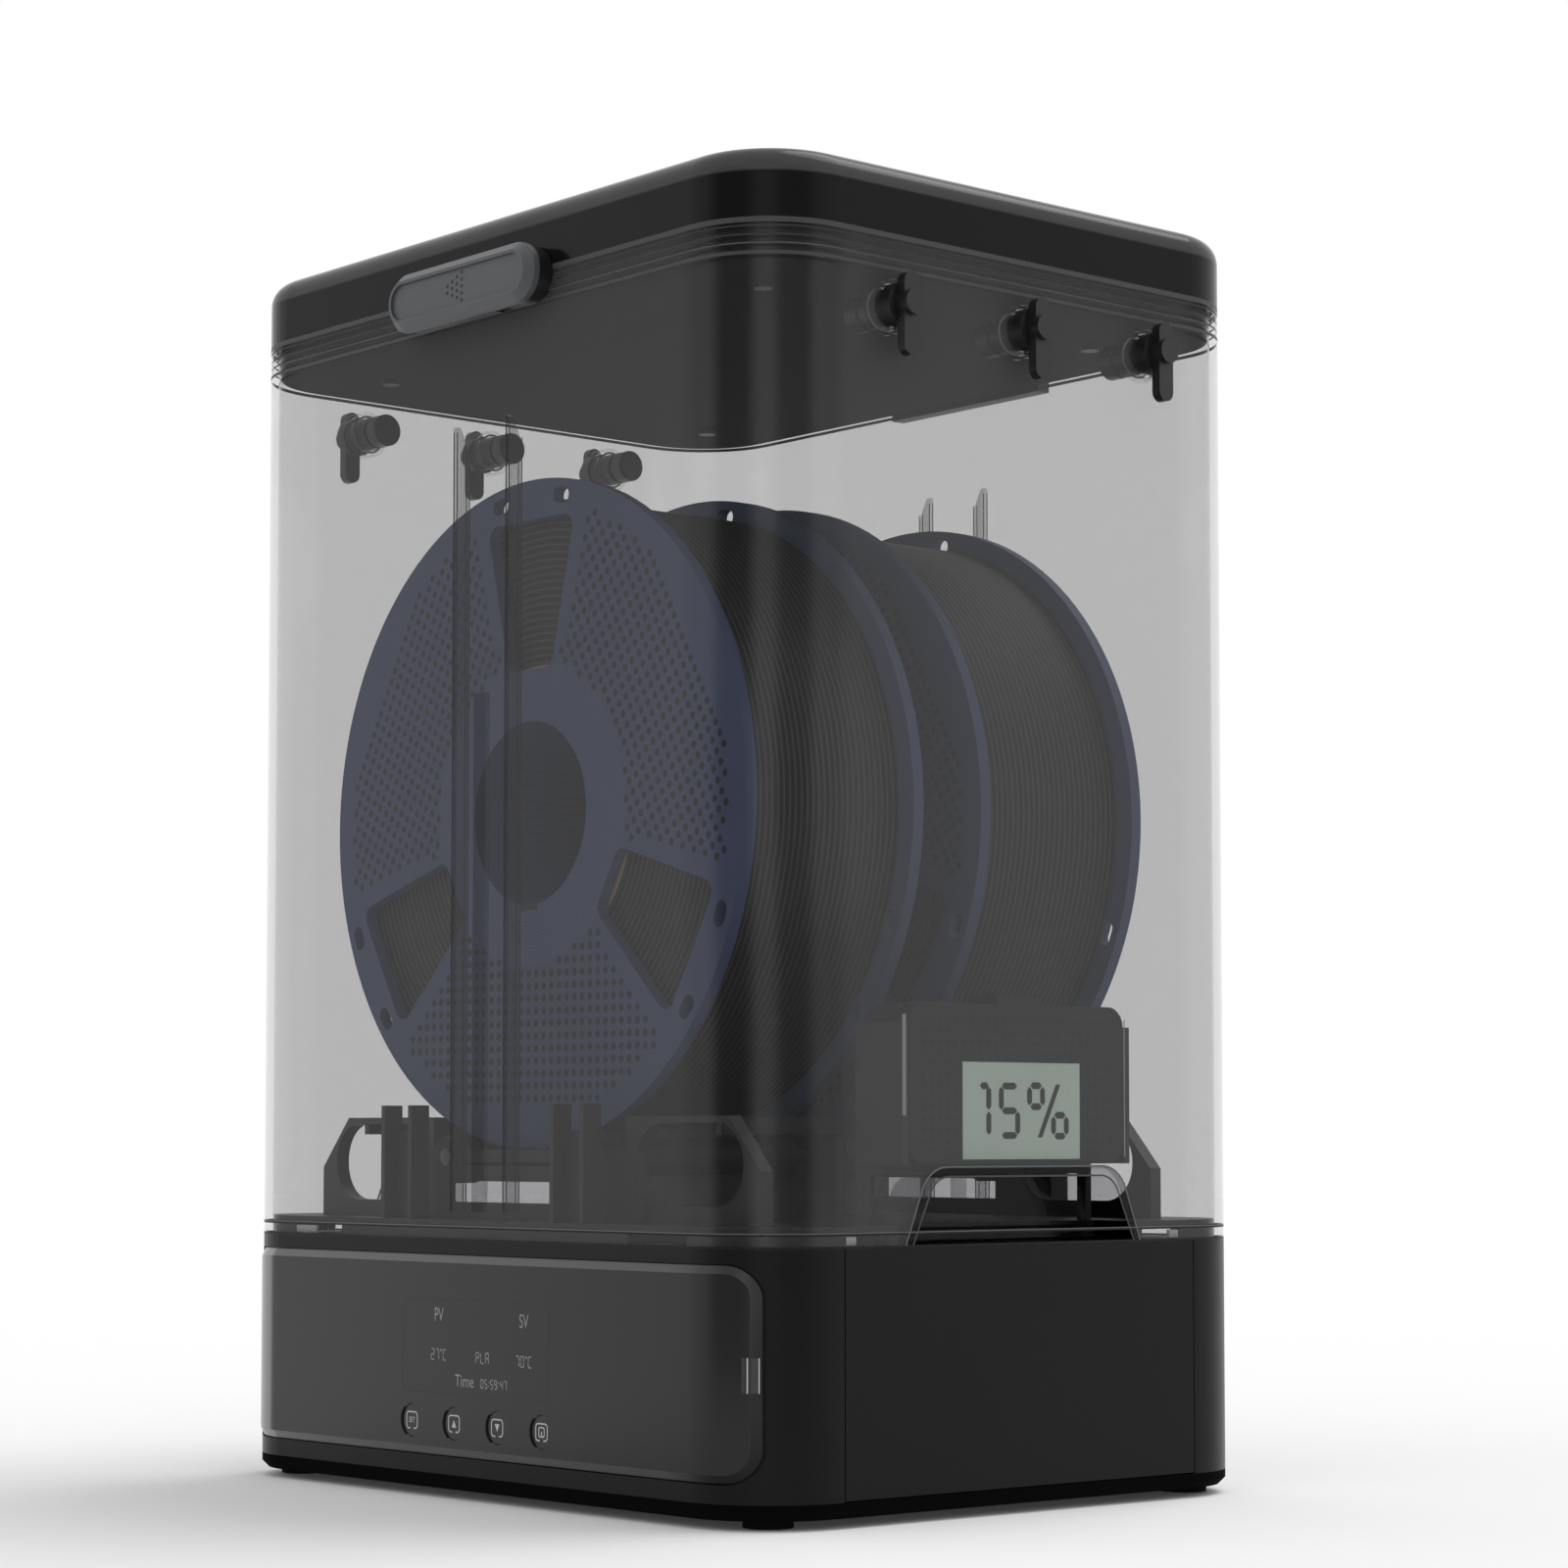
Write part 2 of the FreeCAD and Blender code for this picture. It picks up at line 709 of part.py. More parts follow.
def make_base_shell():
    """Side wall of the base with its deck ledge, screw bosses and cut-outs."""
    wall = case_ring("0", "base_wall", BASE_BOTTOM, BASE_TOP)
    ledge = case_ring("base_wall / 2", "base_wall + ledge_width",
                      f"{DECK_BOTTOM} - ledge_thickness", DECK_BOTTOM)
    bosses = []
    tools = []
    for point in corner_points("boss_inset_x", "boss_inset_y"):
        bosses.append(rod("z", "boss_radius", point, (BASE_BOTTOM, DECK_BOTTOM)))
        tip = "foot_height + screw_head_height + screw_length + screw_gap"
        tools.append(rod("z", "screw_radius + screw_gap", point, (BASE_BOTTOM, tip)))
    for right in SIGNS:
        for up in SIGNS:
            place = (f"{right} * ({BOARD_HALF} - board_post_inset)",
                     f"{DISPLAY_Z} + {up} * (board_height / 2 - board_post_inset)")
            ends = (f"-({FRONT} - base_wall / 2)", f"-{BOARD_Y}")
            bosses.append(rod("y", "board_post_radius", place, ends))
    side = f"{SIDE} - side_panel_thickness"
    for sign in SIGNS:
        tools.append(box(mirrored(sign, side, f"{SIDE} + panel_gap"),
                         around("0", "side_panel_width / 2"), (BASE_BOTTOM, BASE_TOP)))
    recess_ring = case_ring("-panel_thickness", "panel_thickness - panel_proud", BASE_BOTTOM, BASE_TOP)
    tools.append(common(recess_ring, panel_profile("panel_gap")))
    through = (f"-{FRONT}", f"-({FRONT} - base_wall)")
    tools.append(box(around("control_offset", "display_width / 2 + panel_gap"), through,
                     around(DISPLAY_Z, "display_height / 2 + panel_gap")))
    for x in button_places():
        tools.append(rod("y", "stem_radius + stem_gap", (x, BUTTON_Z), through))
    tools.append(slab("inlet_width + 2 * inlet_gap", "inlet_height + 2 * inlet_gap",
                      "inlet_corner + inlet_gap", "xz", (f"{FRONT} - base_wall", FRONT),
                      (INLET_X, INLET_Z)))
    tools.append(indicator_bar("indicator_gap"))
    node("base_shell", cut(fuse(wall, ledge, *bosses), *tools))


def make_side_panels():
    """Flush cover plate on each side of the base."""
    for name, sign in (("left", -1), ("right", 1)):
        half = "side_panel_width / 2 - seam_gap"
        plate = box(mirrored(sign, f"{SIDE} - side_panel_thickness", SIDE), (f"-({half})", half),
                    (f"{BASE_BOTTOM} + seam_gap", BASE_TOP))
        node(f"side_panel_{name}", plate)


def make_front_panel():
    """Smoked control panel that wraps both front corners, with its light bar."""
    ring = case_ring("-panel_proud", "panel_thickness - panel_proud", BASE_BOTTOM, BASE_TOP)
    plate = common(ring, panel_profile("0"))
    through = around(f"-{FRONT}", "panel_thickness")
    holes = [rod("y", "button_radius + button_gap", (x, BUTTON_Z), through) for x in button_places()]
    node("front_panel", cut(plate, indicator_bar("indicator_gap"), *holes))
    ring_light = case_ring("-panel_proud", "panel_thickness - panel_proud", BASE_BOTTOM, BASE_TOP)
    node("indicator_light", common(ring_light, indicator_bar("0")))


def make_controls():
    """Display, control board and the four push buttons."""
    back = f"-{BOARD_Y}"
    glass_face = f"-({FRONT} + panel_proud - panel_thickness)"
    glass = box(around("control_offset", "display_width / 2"), (glass_face, back),
                around(DISPLAY_Z, "display_height / 2"))
    rim = box(around("control_offset", "display_width / 2 + display_rim"), (f"-({FRONT} - base_wall)", back),
              around(DISPLAY_Z, "display_height / 2 + display_rim"))
    node("display_module", fuse(glass, rim))
    board = box(around("0", BOARD_HALF), (back, f"{back} + board_thickness"),
                around(DISPLAY_Z, "board_height / 2"))
    stem_end = f"-{BOARD_Y} - switch_size / 4"
    switches = []
    for label, x in zip(("set", "up", "down", "lock"), button_places()):
        half = "switch_size / 2"
        switches.append(box(around(x, half), (f"{stem_end} + button_travel + switch_gap", back),
                            around(BUTTON_Z, half)))
        face = f"-({FRONT} + panel_proud - button_recess)"
        cap = rod("y", "button_radius", (x, BUTTON_Z), (face, f"{face} + button_cap"))
        stem = rod("y", "stem_radius", (x, BUTTON_Z), (f"{face} + button_cap", stem_end))
        node(f"button_{label}", fuse(cap, stem))
    node("control_board", fuse(board, *switches))


def make_power():
    """Mains inlet in the rear wall and the power supply on the plinth."""
    place = (INLET_X, INLET_Z)
    face = f"{FRONT} + inlet_flange_thickness"
    body = slab("inlet_width", "inlet_height", "inlet_corner", "xz", (f"{FRONT} - inlet_depth", FRONT), place)
    flange = slab("inlet_width + 2 * inlet_flange", "inlet_height + 2 * inlet_flange",
                  "inlet_corner + inlet_flange", "xz", (FRONT, face), place)
    cavity_end = f"{face} - socket_depth"
    cavity = slab("socket_width", "socket_height", "socket_height / 2 - inlet_gap", "xz",
                  (cavity_end, face), place)
    contact_ends = (f"{cavity_end} - inlet_flange_thickness", f"{cavity_end} + contact_length")
    contacts = []
    for x in around(INLET_X, "contact_pitch / 2"):
        contacts.append(rod("y", "contact_radius", (x, INLET_Z), contact_ends))
    node("power_inlet", fuse(cut(fuse(body, flange), cavity), *contacts))
    board_top = f"{BASE_BOTTOM} + supply_board"
    across = around(f"-{SUPPLY_X}", "supply_width / 2 - supply_margin")
    split = "supply_length / 2 - supply_margin - terminal_depth"
    board = box(around(f"-{SUPPLY_X}", "supply_width / 2"), around("0", "supply_length / 2"),
                (BASE_BOTTOM, board_top))
    can = box(across, ("-supply_length / 2 + supply_margin", split),
              (board_top, f"{BASE_BOTTOM} + supply_height"))
    terminals = box(across, (split, "supply_length / 2 - supply_margin"),
                    (board_top, f"{board_top} + terminal_height"))
    node("power_supply", fuse(board, can, terminals))


def make_fan():
    """Axial fan: frame on posts, motor on its plate and bladed rotor on the shaft."""
    half = "fan_size / 2"
    plate_top = f"({FAN_BOTTOM} + fan_plate_thickness)"
    block = box((f"-{half}", half), (f"-{half}", half), (FAN_BOTTOM, FAN_TOP))
    bore = rod("z", "fan_bore_radius", ("0", "0"), (FAN_BOTTOM, FAN_TOP))
    plate = rod("z", "fan_plate_radius", ("0", "0"), (FAN_BOTTOM, plate_top))
    strut = "fan_strut_width / 2"
    struts = [box((f"-{half}", half), (f"-{strut}", strut), (FAN_BOTTOM, plate_top)),
              box((f"-{strut}", strut), (f"-{half}", half), (FAN_BOTTOM, plate_top))]
    node("fan_frame", fuse(cut(block, bore), plate, *struts))
    motor_top = f"({plate_top} + motor_height)"
    shaft_top = f"({motor_top} + shaft_height)"
    node("fan_motor", fuse(rod("z", "motor_radius", ("0", "0"), (plate_top, motor_top)),
                           rod("z", "shaft_radius", ("0", "0"), (motor_top, shaft_top))))
    rotor_low = f"({plate_top} + rotor_lift)"
    rotor_top = f"({rotor_low} + rotor_height)"
    cup = cut(rod("z", "rotor_radius", ("0", "0"), (rotor_low, rotor_top)),
              rod("z", "rotor_skirt_radius", ("0", "0"), (rotor_low, f"{rotor_top} - rotor_cap")),
              rod("z", "shaft_radius + shaft_gap", ("0", "0"), (rotor_low, rotor_top)))
    blades = []
    blade_count = 7
    root = "(rotor_skirt_radius / 2 + rotor_radius / 2)"
    for index in range(blade_count):
        blade = doc.addObject("Part::Box", "blade")
        blade.setExpression("Length", cells(f"fan_bore_radius - blade_tip_gap - {root}"))
        blade.setExpression("Width", cells("blade_chord"))
        blade.setExpression("Height", cells("blade_thickness"))
        step = Rotation(Vector(0, 0, 1), 360 * index / blade_count)
        turn = step * Rotation(Vector(1, 0, 0), SIZES["blade_pitch_angle"])
        corner = Vector(0, -value("blade_chord / 2"), -value("blade_thickness / 2"))
        offset = step.multVec(Vector(value(root), 0, 0)) + turn.multVec(corner)
        put(blade, turn, repr(offset.x), repr(offset.y), f"{rotor_low} + rotor_height / 2 + ({offset.z!r})")
        blades.append(blade)
    node("fan_rotor", fuse(cup, *blades))


def make_heater():
    """Finned heater in its frame, with the duct up to the deck and a temperature probe."""
    def square_frame(wall, low, high):
        outside = around("0", "fan_size / 2")
        inside = around("0", f"fan_size / 2 - {wall}")
        return cut(box(outside, outside, (low, high)), box(inside, inside, (low, high)))

    node("heater_frame", square_frame("heater_wall", FAN_TOP, HEATER_TOP))
    reach = "(fan_size / 2 - heater_wall - heater_gap)"
    core_top = f"{HEATER_TOP} - heater_gap"
    bars = [box(around("0", reach), around(f"{place} * ({reach} - heater_bar_width)", "heater_bar_width / 2"),
                (FAN_TOP, core_top)) for place in (-1, 0, 1)]
    fins = [box(around(f"{index} * heater_fin_pitch", "heater_fin / 2"), around("0", reach),
                (f"{FAN_TOP} + heater_fin", f"{core_top} - heater_fin")) for index in range(-6, 7)]
    node("heater_core", fuse(*bars, *fins))
    probe = ("0", f"({HEATER_TOP} + {DECK_BOTTOM}) / 2")
    half = "fan_size / 2"
    hole = rod("x", "probe_radius + probe_gap", probe, (f"{half} - duct_wall", half))
    node("air_duct", cut(square_frame("duct_wall", HEATER_TOP, DECK_BOTTOM), hole))
    probe_ends = (f"{half} - probe_inside", f"{half} + probe_outside")
    node("temperature_probe", rod("x", "probe_radius", probe, probe_ends))


def make_deck():
    """Top plate of the base with its warm-air grille and the seal that the chamber docks on."""
    plate = case_slab("base_wall + deck_gap", DECK_BOTTOM, BASE_TOP)
    grille = slots(8, "deck_slot_length", "deck_slot_width", "deck_slot_pitch", DECK_BOTTOM, BASE_TOP)
    node("base_deck", cut(plate, *grille))
    inset = "(chamber_wall + dock_seal_inset)"
    seal_top = f"{CRADLE_BOTTOM} - dock_seal_gap"
    node("dock_seal", case_ring(inset, f"{inset} + dock_seal_width", BASE_TOP, seal_top))


def scoop(sign, grow, near, far):
    """Finger scoop outline as a block through the side wall, grown by a wall thickness."""
    low = f"scoop_low_width / 2 + ({grow})"
    high = f"scoop_high_width / 2 + ({grow})"
    top = f"scoop_height + ({grow})"
    points = ((f"-({low})", "0"), (low, "0"), (high, top), (f"-({high})", top))
    body = prism(points, "yz", mirrored(sign, near, far), ("0", BASE_TOP))
    return soften(body, "Fillet", edges_along(body, value(top) / 2), f"scoop_corner + ({grow})")


def outlet_places():
    """Places of the three filament outlets along each side wall."""
    for step in (-1, 0, 1):
        yield f"{step} * outlet_pitch", OUTLET_Z


def make_ribs():
    """Upright fins and flat strips on the inside of the chamber's front and rear walls."""
    ribs = []
    top = f"{BASE_TOP} + fin_top"
    low = f"{BASE_TOP} + fin_low"
    tip = f"{INNER_FRONT} - {FIN_DEPTH}"
    points = ((INNER_FRONT, low), (INNER_FRONT, top), (f"{INNER_FRONT} - {STRIP_DEPTH}", top),
              (tip, f"{top} - fin_tip"), (tip, low))
    for sign in SIGNS:
        outline = tuple((f"{sign} * ({y})", z) for y, z in points)
        for right in SIGNS:
            ribs.append(prism(outline, "yz", around(f"{right} * fin_offset", "fin_thickness / 2")))
        ribs.append(box(around("0", "strip_width / 2"),
                        mirrored(sign, f"{INNER_FRONT} - {STRIP_DEPTH}", INNER_FRONT),
                        (low, f"{BASE_TOP} + strip_top")))
    node("chamber_ribs", group(*ribs))


def make_finger_cups():
    """Clear cup in a notch of each side wall, for the fingers that lift the chamber off."""
    back = f"{SIDE} - scoop_depth"
    cups = []
    for sign in SIGNS:
        outside = scoop(sign, "scoop_wall", f"{back} - scoop_wall", SIDE)
        cups.append(cut(outside, scoop(sign, "0", back, f"{SIDE} + scoop_wall")))
    node("finger_cups", group(*cups))


def make_chamber():
    """Clear chamber wall with rim grooves, finger notches, outlet holes and latch keeper."""
    wall = case_ring("0", "chamber_wall", BASE_TOP, RIM)
    tools = []
    for sign in SIGNS:
        tools.append(scoop(sign, "scoop_wall + scoop_gap", f"{SIDE} - scoop_depth", f"{SIDE} + scoop_wall"))
        for place in outlet_places():
            tools.append(rod("x", "bush_bore + bush_wall + bush_gap", place,
                             mirrored(sign, f"{INNER_SIDE} - bush_flange", f"{SIDE} + bush_flange")))
    for step in range(3):
        low = f"{RIM} - groove_drop - {step} * groove_pitch - groove_height / 2"
        tools.append(case_ring("-groove_depth", "groove_depth", low, f"{low} + groove_height"))
    keeper_low = f"{LATCH_Z} - head_height / 2 + toe_height + 2 * latch_gap"
    keeper_start = "latch_offset + head_length / 2 + latch_gap"
    keeper_face = f"({FRONT} + latch_projection - latch_thickness - track_front - 2 * latch_gap)"
    keeper = box((keeper_start, f"{keeper_start} + keeper_length"),
                 (f"-{keeper_face}", f"-({FRONT} - chamber_wall / 2)"),
                 (keeper_low, f"{keeper_low} + keeper_height"))
    node("chamber", fuse(cut(wall, *tools), keeper))


def make_outlets():
    """Bushes in the outlet holes and the pull-out rubber plugs."""
    inner = f"{INNER_SIDE} - bush_flange"
    outer = f"{SIDE} + bush_flange"
    disc = f"{outer} + plug_gap"
    bar_low = f"{disc} + plug_disc"
    bar_high = f"{bar_low} + plug_bar"
    nub_start = f"{INNER_SIDE} - plug_reach"
    nub_end = f"{nub_start} + plug_nub_length"
    nub_face = f"{nub_start} + plug_tip"
    collar = f"{nub_end} + plug_waist"
    half = "plug_bar_width / 2"
    for name, sign in (("left", -1), ("right", 1)):
        bushes = []
        for row, (y, z) in zip(("front", "middle", "rear"), outlet_places()):
            ends = mirrored(sign, inner, outer)
            barrel = rod("x", "bush_bore + bush_wall", (y, z), ends)
            flanges = [rod("x", "bush_flange_radius", (y, z), mirrored(sign, SIDE, outer)),
                       rod("x", "bush_flange_radius", (y, z), mirrored(sign, inner, INNER_SIDE))]
            bushes.append(cut(fuse(barrel, *flanges), rod("x", "bush_bore", (y, z), ends)))
            low_z = f"{z} - plug_bar_down + {half}"
            high_z = f"{z} + plug_bar_up - {half}"
            pieces = [
                rod("x", "plug_stem_radius", (y, z), mirrored(sign, nub_start, bar_low)),
                rod("x", "plug_tip_radius", (y, z), mirrored(sign, nub_start, nub_face)),
                rod("x", "plug_nub_radius", (y, z), mirrored(sign, nub_face, nub_end)),
                rod("x", "plug_nub_radius", (y, z), mirrored(sign, collar, bar_low)),
                rod("x", "plug_disc_radius", (y, z), mirrored(sign, disc, bar_low)),
                rod("x", "plug_boss_radius", (y, z), mirrored(sign, bar_low, f"{bar_high} + plug_boss")),
                box(mirrored(sign, bar_low, bar_high), around(y, half), (low_z, high_z)),
                rod("x", half, (y, low_z), mirrored(sign, bar_low, bar_high)),
                rod("x", half, (y, high_z), mirrored(sign, bar_low, bar_high)),
            ]
            node(f"plug_{name}_{row}", fuse(*pieces))
        node(f"outlet_bushes_{name}", group(*bushes))


def cradle_bearer(sign):
    """Low wall across one end of the cradle that carries the roller pins, with a window and a slit."""
    limits = mirrored(sign, "cradle_wall_offset", "cradle_wall_offset + cradle_wall")
    heights = (CRADLE_BOTTOM, f"{BASE_TOP} + cradle_wall_top")
    wall = box(around("0", "cradle_wall_length / 2"), limits, heights)
    sill = f"{BASE_TOP} + cradle_window_low"
    slit = f"{sill} + near_slit_rise"
    across = around("0", "near_window_width / 2")
    return cut(wall, box(across, limits, (sill, f"{sill} + near_window_height")),
               box(across, limits, (slit, f"{slit} + near_slit_height")))


def cradle_wing(sign, right):
    """High wall at one corner of the cradle, with a sloped shoulder and a round-cornered window."""
    limits = mirrored(sign, "wing_offset", "wing_offset + wing_thickness")
    outline = (("wing_start", "cradle_rise"), ("wing_end", "cradle_rise"), ("wing_end", "wing_end_top"),
               ("wing_end - wing_slope", "wing_top"), ("wing_start", "wing_top"))
    points = tuple((f"{right} * ({x})", z) for x, z in outline)
    wall = prism(points, "xz", limits, ("0", BASE_TOP))
    width = "(wing_window_end - wing_window_start)"
    height = "(wing_top - wing_rail - cradle_window_low)"
    place = (f"{right} * (wing_window_start + {width} / 2)", f"{BASE_TOP} + cradle_window_low + {height} / 2")
    return cut(wall, slab(width, height, "wing_window_corner", "xz", limits, place))


def side_rail(right):
    """Rail along one side of the cradle that joins its front and rear wings."""
    return box(mirrored(right, "side_rail_offset", "side_rail_offset + side_rail_width"),
               around("0", "wing_offset + wing_thickness / 2"),
               (f"{BASE_TOP} + side_rail_low", f"{BASE_TOP} + side_rail_high"))


def post_block(sign, right):
    """Post of two plates and a low web that stands between the cradle's end and the chamber wall."""
    outer = f"{INNER_FRONT} - cradle_gap"
    inner = f"{outer} - post_depth"
    middle = f"{right} * post_offset"
    pieces = [box(around(middle, "post_width / 2"), mirrored(sign, inner, f"{inner} + post_web"),
                  (CRADLE_BOTTOM, f"{BASE_TOP} + post_web_top"))]
    for side in SIGNS:
        place = f"{middle} + {side} * (post_width - post_rib) / 2"
        pieces.append(box(around(place, "post_rib / 2"), mirrored(sign, inner, outer),
                          (CRADLE_BOTTOM, f"{BASE_TOP} + post_top")))
    return pieces


def meter_rail(sign):
    """Upright rail that guides one side of the hygrometer."""
    near = "meter_width / 2 + meter_gap"
    y = mirrored(sign, near, f"{near} + rail_thickness")
    back = f"{METER_BACK} - rail_thickness"
    guide = box((back, f"{INNER_SIDE} - cradle_gap"), y, (METER_BOTTOM, f"{BASE_TOP} + rail_top"))
    leg = box((back, CUP_BACK), y, (CRADLE_BOTTOM, METER_BOTTOM))
    return [guide, leg]


def make_cradle():
    """Tray in the bottom of the chamber that carries the rollers, the posts and the hygrometer."""
    inset = "(chamber_wall + cradle_gap)"
    floor = case_slab(inset, CRADLE_BOTTOM, CRADLE_TOP)
    skirt = case_ring(inset, f"{inset} + cradle_skirt", f"{BASE_TOP} + skirt_gap", CRADLE_BOTTOM)
    pieces = [floor, skirt]
    tools = []
    for sign in SIGNS:
        pieces.append(cradle_bearer(sign))
        pieces.append(side_rail(sign))
        for right in SIGNS:
            pieces.append(cradle_wing(sign, right))
            pieces += post_block(sign, right)
            front_window = mirrored(right, "front_window_near", "front_window_near + front_window_width")
            side_window = mirrored(right, "side_window_near", "side_window_near + side_window_width")
            tools.append(box(front_window, mirrored(sign, f"{INNER_FRONT} - 2 * cradle_skirt", INNER_FRONT),
                             (BASE_TOP, CRADLE_BOTTOM)))
            tools.append(box(mirrored(sign, f"{INNER_SIDE} - 2 * cradle_skirt", INNER_SIDE), side_window,
                             (BASE_TOP, CRADLE_BOTTOM)))
        pieces += meter_rail(sign)
        boss_ends = mirrored(sign, "cradle_wall_offset", "cradle_wall_offset + cradle_wall")
        for right in SIGNS:
            x = f"{right} * roller_offset"
            pieces.append(rod("y", "pin_boss_radius", (x, ROLLER_Z), boss_ends))
            tools.append(rod("y", "roller_pin_radius + pin_seat_gap", (x, ROLLER_Z), boss_ends))
        notch_half = "scoop_low_width / 2 + scoop_wall + cradle_gap"
        tools.append(box(mirrored(sign, CUP_BACK, SIDE), around("0", notch_half), (BASE_TOP, CRADLE_TOP)))
    shelf_back = f"{METER_BACK} - rail_thickness"
    pieces.append(box((shelf_back, CUP_BACK),
                      around("0", "meter_width / 2 + meter_gap + rail_thickness / 2"),
                      (f"{METER_BOTTOM} - shelf_thickness", METER_BOTTOM)))
    thickness = around("0", "divider_thickness / 2")
    pieces.append(box(around("0", "divider_length / 2"), thickness,
                      (CRADLE_BOTTOM, f"{ROLLER_Z} + pin_boss_radius")))
    for right in SIGNS:
        place = (f"{right} * roller_offset", ROLLER_Z)
        tools.append(rod("y", "roller_pin_radius + pin_seat_gap", place, thickness))
    for index in (-5, -4, -3, -2, 2, 3, 4, 5):
        tools.append(box(around("0", "cradle_slot_length / 2"),
                         around(f"{index} * cradle_slot_pitch", "cradle_slot_width / 2"),
                         (CRADLE_BOTTOM, CRADLE_TOP)))
    node("cradle", cut(fuse(*pieces), *tools))


def make_rollers():
    """Two pins across the cradle and a pair of free-turning rollers under each spool."""
    pins = []
    for name, right in (("left", -1), ("right", 1)):
        place = (f"{right} * roller_offset", ROLLER_Z)
        pins.append(rod("y", "roller_pin_radius", place, around("0", "cradle_wall_offset + cradle_wall")))
        for row, back in (("front", -1), ("rear", 1)):
            low, high = around(f"{back} * {SPOOL_Y}", "spool_width / 2 + roller_overhang")
            core = rod("y", "roller_core", place, (low, high))
            tyres = [rod("y", "roller_radius", place, (low, f"{low} + tyre_width")),
                     rod("y", "roller_radius", place, (f"{high} - tyre_width", high))]
            bore = rod("y", "roller_pin_radius + roller_pin_gap", place, (low, high))
            node(f"roller_{row}_{name}", cut(fuse(core, *tyres), bore))
    node("roller_pins", group(*pins))


def flange_cutters():
    """Three windows and six rim holes that every spool flange has, long enough to pass all four."""
    span = (f"-({SPOOL_Y} + spool_width)", f"{SPOOL_Y} + spool_width")
    cutters = []
    for third in range(3):
        turn = Rotation(Vector(0, 1, 0), 120 * third)
        points = (("-window_low_width / 2", "window_low"), ("window_low_width / 2", "window_low"),
                  ("window_high_width / 2", "window_high"), ("-window_high_width / 2", "window_high"))
        window = prism(points, "xz", span, ("0", SPOOL_Z), turn)
        cutters.append(soften(window, "Fillet", edges_along(window), "window_corner"))
        for side in SIGNS:
            angle = f"({120 * third} + {side} * rim_hole_angle)"
            centre = (f"rim_hole_radius * sin({angle})", f"{SPOOL_Z} + rim_hole_radius * cos({angle})")
            hole_turn = Rotation(Vector(0, 1, 0), value(angle))
            cutters.append(slab("rim_hole_length", "rim_hole_width", "rim_hole_corner", "xz",
                                span, centre, hole_turn))
    return group(*cutters)


def make_spools():
    """Two loaded spools: each a front half, a rear half and the wound filament between them."""
    cutters = flange_cutters()
    axis = ("0", SPOOL_Z)
    for row, back in (("front", -1), ("rear", 1)):
        middle = f"({back} * {SPOOL_Y})"
        for half_name, sign in (("front", -1), ("rear", 1)):
            near = "spool_width / 2 - flange_thickness"
            flange_ends = tuple(f"{middle} + ({end})" for end in mirrored(sign, near, "spool_width / 2"))
            hub_ends = tuple(f"{middle} + ({end})" for end in mirrored(sign, "0", "spool_width / 2"))
            flange = tube("y", "spool_radius", "bore_radius", axis, flange_ends)
            bore_tube = tube("y", "bore_radius + bore_wall", "bore_radius", axis, hub_ends)
            core_tube = tube("y", "core_radius", "core_radius - core_wall", axis, hub_ends)
            node(f"spool_{row}_{half_name}_half", cut(fuse(flange, bore_tube, core_tube), cutters))
        reach = "(spool_width / 2 - flange_thickness)"
        winding = tube("y", "winding_radius", "core_radius + winding_gap", axis, around(middle, reach))
        node(f"filament_{row}", winding)


def make_hygrometer():
    """Hygrometer case that faces out through the right wall, with its screen."""
    face = f"({INNER_SIDE} - meter_gap)"
    middle = f"{METER_BOTTOM} + meter_height / 2"
    case = slab("meter_width", "meter_height", "meter_corner", "yz", (METER_BACK, face), ("0", middle))
    top = f"{METER_BOTTOM} + meter_height"
    tab = box((f"{face} - meter_tab_depth", face), around("0", "meter_tab_width / 2"),
              around(top, "meter_tab_height"))
    screen_low = f"{METER_BOTTOM} + screen_low"

    def screen(grow):
        across = around("screen_offset", f"screen_width / 2 + {grow}")
        heights = (f"{screen_low} - {grow}", f"{screen_low} + screen_height + {grow}")
        return box((f"{face} - screen_thickness", face), across, heights)

    node("hygrometer_case", cut(fuse(case, tab), screen("screen_gap")))
    node("hygrometer_screen", screen("0"))


def lid_screw_places():
    """Spots where screws hold the liner to the lid."""
    for right in SIGNS:
        for back in SIGNS:
            yield f"{right} * lid_screw_offset_x", f"{back} * lid_screw_offset_y"


